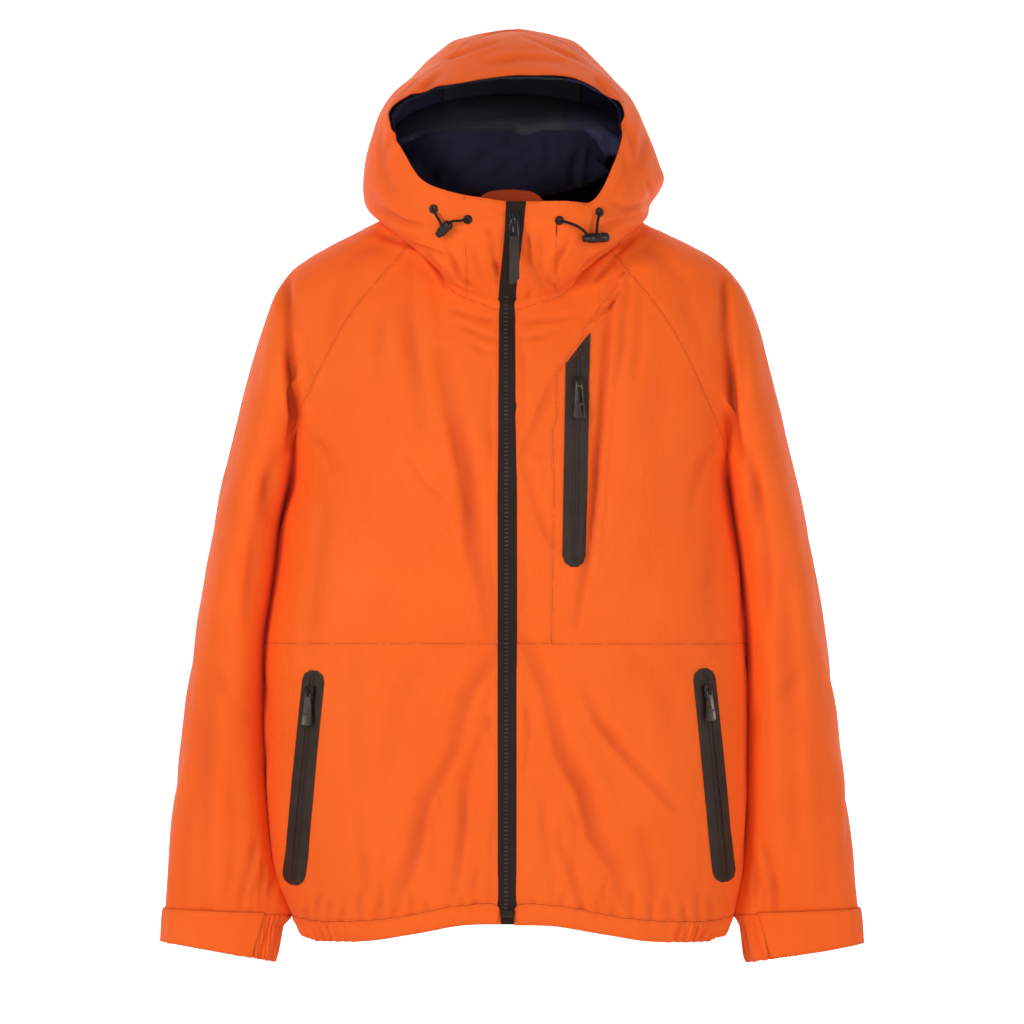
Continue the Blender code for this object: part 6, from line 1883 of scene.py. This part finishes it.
@dataclass
class PocketZips:
    """The welded bands with their slots, zips, sliders and pulls."""

    plans: tuple[PocketPlan, ...] = (
        PocketPlan("chest", (66.3, -127.5), (62.5, -345), 6.0, 1.32),
        PocketPlan("hand_left", (-195.5, -447), (-215.6, -662), 3.5, 0.0),
        PocketPlan("hand_right", (191, -445), (212, -659), 3.5, 0.0),
    )
    profile: tuple[tuple[float, float], ...] = (
        (-4.6, 0.25), (-3.6, 0.75), (-2.4, 1.1), (-1.0, 1.15), (-0.35, 0.95), (0.0, 0.55), (0.35, 0.95),
        (1.0, 1.15), (2.4, 1.1), (3.6, 0.75), (4.6, 0.25),
    )
    frame_width: float = 1.2
    frame_depth: float = 0.5
    bar: tuple[float, float, float] = (8.4, 0.8, 2.2)
    bar_drop: float = 4.5
    bar_sink: float = 0.35
    mark: tuple[float, float, float] = (8.4, 0.5, 1.5)
    mark_rise: float = 8.5
    mark_lift: float = 1.45
    strip_foot: float = 3.5
    strip_step: float = 2.5

    def build(self, trims: Trims) -> None:
        """Dress each pocket.

        Args:
            trims: where the trims are laid.
        """
        for plan in self.plans:
            name = "pocket_" + plan.name
            trims.carried(name + "_surround", BAND, round_off=0.4, sink=0.7)
            self.build_strip(trims, plan)
            anchor = trims.anchor(name + "_slider")
            trims.hard(name + "_slider", METAL, 0.3, anchor)
            self.build_pull(trims, name, anchor)
            self.build_mark(trims, plan)

    def build_pull(self, trims: Trims, name: str, anchor: Vector) -> None:
        """Sink the pull's face inside a narrow frame and lay a bar across it.

        Args:
            trims: where the trims are laid.
            name: the pocket's name.
            anchor: the point whose cloth it stands on.
        """
        mesh = node_mesh(name + "_pull")
        out = min(mesh.faces, key=lambda f: f.normal.y * f.calc_area()).normal.copy()
        face = [f for f in mesh.faces if f.normal.dot(out) > 0.98 and f.calc_area() > 20 * MM * MM]
        corners = [vertex.co for f in face for vertex in f.verts]
        middle = (Vector(map(min, *corners)) + Vector(map(max, *corners))) / 2
        aside = Vector((0, 0, 1)).cross(out).normalized()
        up = out.cross(aside)
        width, depth = self.frame_width * MM, -self.frame_depth * MM
        bmesh.ops.inset_region(mesh, faces=face, thickness=width, depth=depth)
        for sunk in face:
            sunk.material_index = 1
        soften(mesh, 0.2)
        foot = middle - up * self.bar_drop * MM
        add_bar(mesh, foot - out * self.bar_sink * MM, (aside, out, up), self.bar)
        bmesh.ops.translate(mesh, vec=trims.shift(anchor), verts=mesh.verts[:])
        pull = link_mesh(f"trim_{name}_pull", mesh, 30.0)
        # the pull takes the lighter metal of the painted highlight, its sunk face the dark gloss
        trims.finishes.dress(pull, PAINTED_HIGHLIGHT_METAL, [name + "_pull"], name + "_pull_tab")
        pull.data.materials.append(trims.finishes.material(GLOSS))

    def build_strip(self, trims: Trims, plan: PocketPlan) -> None:
        """Two smooth halves of coated tape that meet along the slot's middle.

        Args:
            trims: where the trims are laid.
            plan: the pocket.
        """
        top, bottom = Vector(plan.top), Vector(plan.bottom)
        down = (bottom - top).normalized()
        aside = Vector((-down.y, down.x))
        start, end = top + down * plan.head, bottom - down * self.strip_foot
        rows = int((end - start).length / self.strip_step)
        mesh = bmesh.new()
        bmesh.ops.create_grid(mesh, x_segments=len(self.profile) - 1, y_segments=rows, size=1.0)
        for vertex in mesh.verts:
            column = round((vertex.co.x + 1) / 2 * (len(self.profile) - 1))
            share = (1 - vertex.co.y) / 2
            across, height = self.profile[column]
            slant = plan.slant * across * (1 - share) ** 8
            place = start.lerp(end, share) + aside * across - down * slant
            point, normal = trims.ground.at(place.x, place.y)
            vertex.co = point + normal * height * MM
        bmesh.ops.recalc_face_normals(mesh, faces=mesh.faces[:])
        if next(iter(mesh.faces)).normal.y > 0:
            bmesh.ops.reverse_faces(mesh, faces=mesh.faces[:])
        strip = link_mesh(f"coated_strip_{plan.name}", mesh, 60.0)
        trims.finishes.dress(strip, STRIP, [f"pocket_{plan.name}_zip"])

    def build_mark(self, trims: Trims, plan: PocketPlan) -> None:
        """A short bar pressed across the band's foot.

        Args:
            trims: where the trims are laid.
            plan: the pocket.
        """
        down = (Vector(plan.bottom) - Vector(plan.top)).normalized()
        place = Vector(plan.bottom) - down * self.mark_rise
        point, normal = trims.ground.at(place.x, place.y)
        mesh = bmesh.new()
        aside = Vector((1, 0, 0))
        up = normal.cross(aside).normalized()
        add_bar(mesh, point + normal * self.mark_lift * MM, (aside, normal, up), self.mark)
        soften(mesh, 0.22)
        trims.finishes.dress(link_mesh(f"mark_{plan.name}", mesh, 60.0), BAND, [])


@dataclass
class Drawcord:
    """One side of the hood's cord: two eyelets, the loop between them and its lock."""

    side: str
    eyelets: tuple[tuple[float, float], ...]
    route: tuple[tuple[float, float, float], ...]
    lock: tuple[tuple[float, float], tuple[float, float]]
    cord_radius: float = 1.4
    bore_clear: float = 0.3
    lock_height: float = 6.4
    least_left: float = 0.6
    ring: tuple[tuple[float, float], ...] = (
        (2.0, -0.9), (1.9, 0.6), (2.15, 1.15), (2.9, 1.45), (3.8, 1.3), (4.5, 0.75), (4.7, 0.2), (4.6, -0.9),
        (2.0, -0.9),
    )

    def points(self, trims: Trims) -> list[Vector]:
        """The cord's centreline over the creased cloth, in metres."""
        places = []
        for x, z, lift in self.route:
            point, normal = trims.ground.at(x, z)
            places.append(point + normal * lift * MM)
        return smooth_path(places)

    def build(self, trims: Trims) -> None:
        """Make the eyelets, the cord and the lock.

        Args:
            trims: where the trims are laid.
        """
        for number, (x, z) in enumerate(self.eyelets, 1):
            name = f"{self.side}_{number}"
            ring = link_mesh("eyelet_ring_" + name, lathe(self.ring, *trims.ground.at(x, z)), 60.0)
            trims.finishes.dress(ring, METAL, ["eyelet_" + name])
        line = self.points(trims)
        cord = link_mesh("draw_cord_" + self.side, tube(line, self.cord_radius), 60.0)
        piece = trims.finishes.dress(cord, CORD, ["cord_" + self.side])
        self.build_lock(trims, line)

    def build_lock(self, trims: Trims, line: Sequence[Vector]) -> None:
        """Turn the lock's barrel and bore it for the cord, where the cut comes out sound.

        Args:
            trims: where the trims are laid.
            line: the cord's centreline.
        """
        ends = []
        for x, z in self.lock:
            point, normal = trims.ground.at(x, z)
            ends.append(point + normal * self.lock_height * MM)
        axis = ends[1] - ends[0]
        long = axis.length / MM
        barrel = lathe(
            (
                (0, 0), (3.0, 0), (3.5, 0.35), (3.7, 0.9), (3.7, 0.2 * long), (4.5, 0.21 * long),
                (4.95, 0.25 * long), (5.0, 0.34 * long), (5.0, 0.62 * long), (4.6, 0.64 * long),
                (4.6, 0.7 * long), (5.0, 0.72 * long), (5.0, 0.9 * long), (4.6, 0.96 * long), (3.6, long),
                (0, long),
            ),
            ends[0], axis,
        )
        holder = link_mesh("lock_barrel_" + self.side, barrel, 35.0)
        cutter = link_mesh("bore", tube(line, self.cord_radius + self.bore_clear), 60.0)
        cut = holder.modifiers.new("bore", "BOOLEAN")
        cut.operation = "DIFFERENCE"
        cut.solver = "EXACT"
        cut.object = cutter
        whole = volume(holder.data)
        for crossed in (False, True):
            cut.use_self = crossed
            bored = evaluated(holder)
            if self.least_left * whole < volume(bored) < whole:
                holder.data = bored
                break
        holder.modifiers.clear()
        bpy.data.objects.remove(cutter)
        trims.finishes.dress(holder, PLASTIC, ["cord_lock_" + self.side])


CORDS = (
    Drawcord(
        "left",
        ((-77, 11), (-43, 0.5)),
        (
            (-77, 11, 0.9), (-77, 11, 3.8), (-74.5, 8, 5.6), (-70, 1.5, 6.6), (-67, -3.5, 6.8),
            (-68, -8.0, 6.8), (-65.5, -10.0, 6.8), (-62.5, -7.5, 6.8), (-61, -3.0, 6.8), (-57, -0.8, 6.6),
            (-50, -0.5, 6.0),
            (-43, 0.5, 4.0), (-43, 0.5, 0.9),
        ),
        ((-70.5, -13.5), (-59.5, -2.5)),
    ),
    Drawcord(
        "right",
        ((48, -0.5), (88, 8)),
        (
            (48, -0.5, 0.9), (48, -0.5, 4.0), (54, -1.5, 6.0), (64, -5, 6.4), (71, -10, 6.6), (74, -15, 6.6),
            (78.5, -17, 6.6), (81.5, -14, 6.6), (82, -8, 6.6), (83, 0, 6.4), (85.5, 6, 5.6), (88, 8, 3.6),
            (88, 8, 0.9),
        ),
        ((69.5, -16.5), (92.5, -14.5)),
    ),
)


# ---------------------------------------------------------------- studio


@dataclass
class Studio:
    """The camera, pale floor and soft light."""

    centre: tuple[float, float] = (0.001, -0.290)
    distance: float = 16.0
    focal_pixels: float = 16000.0
    frame_pixels: float = 1024.0
    floor: float = -1.02
    glow: float = 0.75
    world_light: float = 0.14
    sweep_front: float = -5.5
    sweep_flat: float = 6.6
    sweep_bend: float = 1.6
    sweep_radius: float = 1.02
    sweep_half: float = 7.0

    def build(self) -> None:
        """Place the camera, the lights and the sweep behind the garment."""
        scene = bpy.context.scene
        lens = bpy.data.cameras.new("camera")
        lens.sensor_width = 36.0
        lens.lens = self.focal_pixels / self.frame_pixels * 36.0
        lens.clip_end = 60.0
        camera = bpy.data.objects.new("camera", lens)
        camera.location = (self.centre[0], -self.distance, self.centre[1])
        camera.rotation_euler = (math.radians(90), 0, 0)
        scene.collection.objects.link(camera)
        scene.camera = camera
        self.build_sweep()
        for name, place, target, size, power in (
            ("key", (-2.9, -3.3, 1.3), (0, 0, -0.35), 1.1, 100.0),
            ("fill", (3.4, -3.0, 0.3), (0, 0, -0.35), 2.2, 62.0),
            ("front", (0.4, -4.6, 0.5), (0, 0, -0.35), 1.4, 28.0),
            ("rear", (0.0, 1.6, 1.9), (0, 0, -0.3), 2.2, 20.0),
        ):
            self.build_light(name, Vector(place), Vector(target), size, power)
        world = bpy.data.worlds.new("studio")
        scene.world = world
        world.use_nodes = True
        sky = world.node_tree.nodes["Background"]
        sky.inputs["Color"].default_value = (1.0, 1.0, 1.0, 1.0)
        sky.inputs["Strength"].default_value = self.world_light
        scene.view_settings.view_transform = "Standard"

    def build_light(self, name: str, place: Vector, target: Vector, size: float, power: float) -> None:
        """Hang one square soft light.

        Args:
            name: its name.
            place: where it hangs.
            target: what it faces.
            size: its side, in metres.
            power: its strength, in watts.
        """
        data = bpy.data.lights.new(name, "AREA")
        data.shape = "SQUARE"
        data.size = size
        data.energy = power
        light = bpy.data.objects.new(name, data)
        light.location = place
        light.rotation_euler = (target - place).to_track_quat("-Z", "Y").to_euler()
        bpy.context.scene.collection.objects.link(light)

    def build_sweep(self) -> None:
        """Build a floor that curves up into a pale wall."""
        mesh = bmesh.new()
        bmesh.ops.create_grid(mesh, x_segments=2, y_segments=40, size=1.0)
        for vertex in mesh.verts:
            along = (vertex.co.y + 1) * 5.0
            bend = min(max(along - self.sweep_flat, 0) / self.sweep_bend, 1) * math.pi / 2
            rise = max(along - self.sweep_flat - self.sweep_bend, 0)
            y = self.sweep_front + min(along, self.sweep_flat) + math.sin(bend) * self.sweep_radius
            z = self.floor + (1 - math.cos(bend)) * self.sweep_radius + rise * 2
            vertex.co = Vector((vertex.co.x * self.sweep_half, y, z))
        floor = link_mesh("floor", mesh, 180.0)
        made, tree, shader = start_material("pale paper")
        shader.inputs["Base Color"].default_value = (0.9, 0.9, 0.9, 1.0)
        shader.inputs["Roughness"].default_value = 0.9
        shader.inputs["Emission Color"].default_value = (1.0, 1.0, 1.0, 1.0)
        place = tree.add("SeparateXYZ")
        tree.feed(place.inputs[0], tree.add("TexCoord").outputs["Object"])
        glow = tree.ramp(place.outputs["Z"], self.floor, self.floor + 0.1, 0.0, self.glow)
        tree.feed(shader.inputs["Emission Strength"], glow)
        floor.data.materials.append(made)


# ---------------------------------------------------------------- the garment


def main() -> None:
    """Build the garment in order."""
    logging.basicConfig(level=logging.INFO, format="%(message)s")
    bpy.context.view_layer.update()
    Studio().build()
    finishes = Finishes()
    shell = Shell().build()
    shell.dress(finishes)
    Casings(shell).build(finishes)
    Lining().build(finishes)
    trims = Trims(shell, finishes)
    MainZip().build(trims)
    PocketZips().build(trims)
    for cord in CORDS:
        cord.build(trims)


if __name__ == "__main__":
    main()
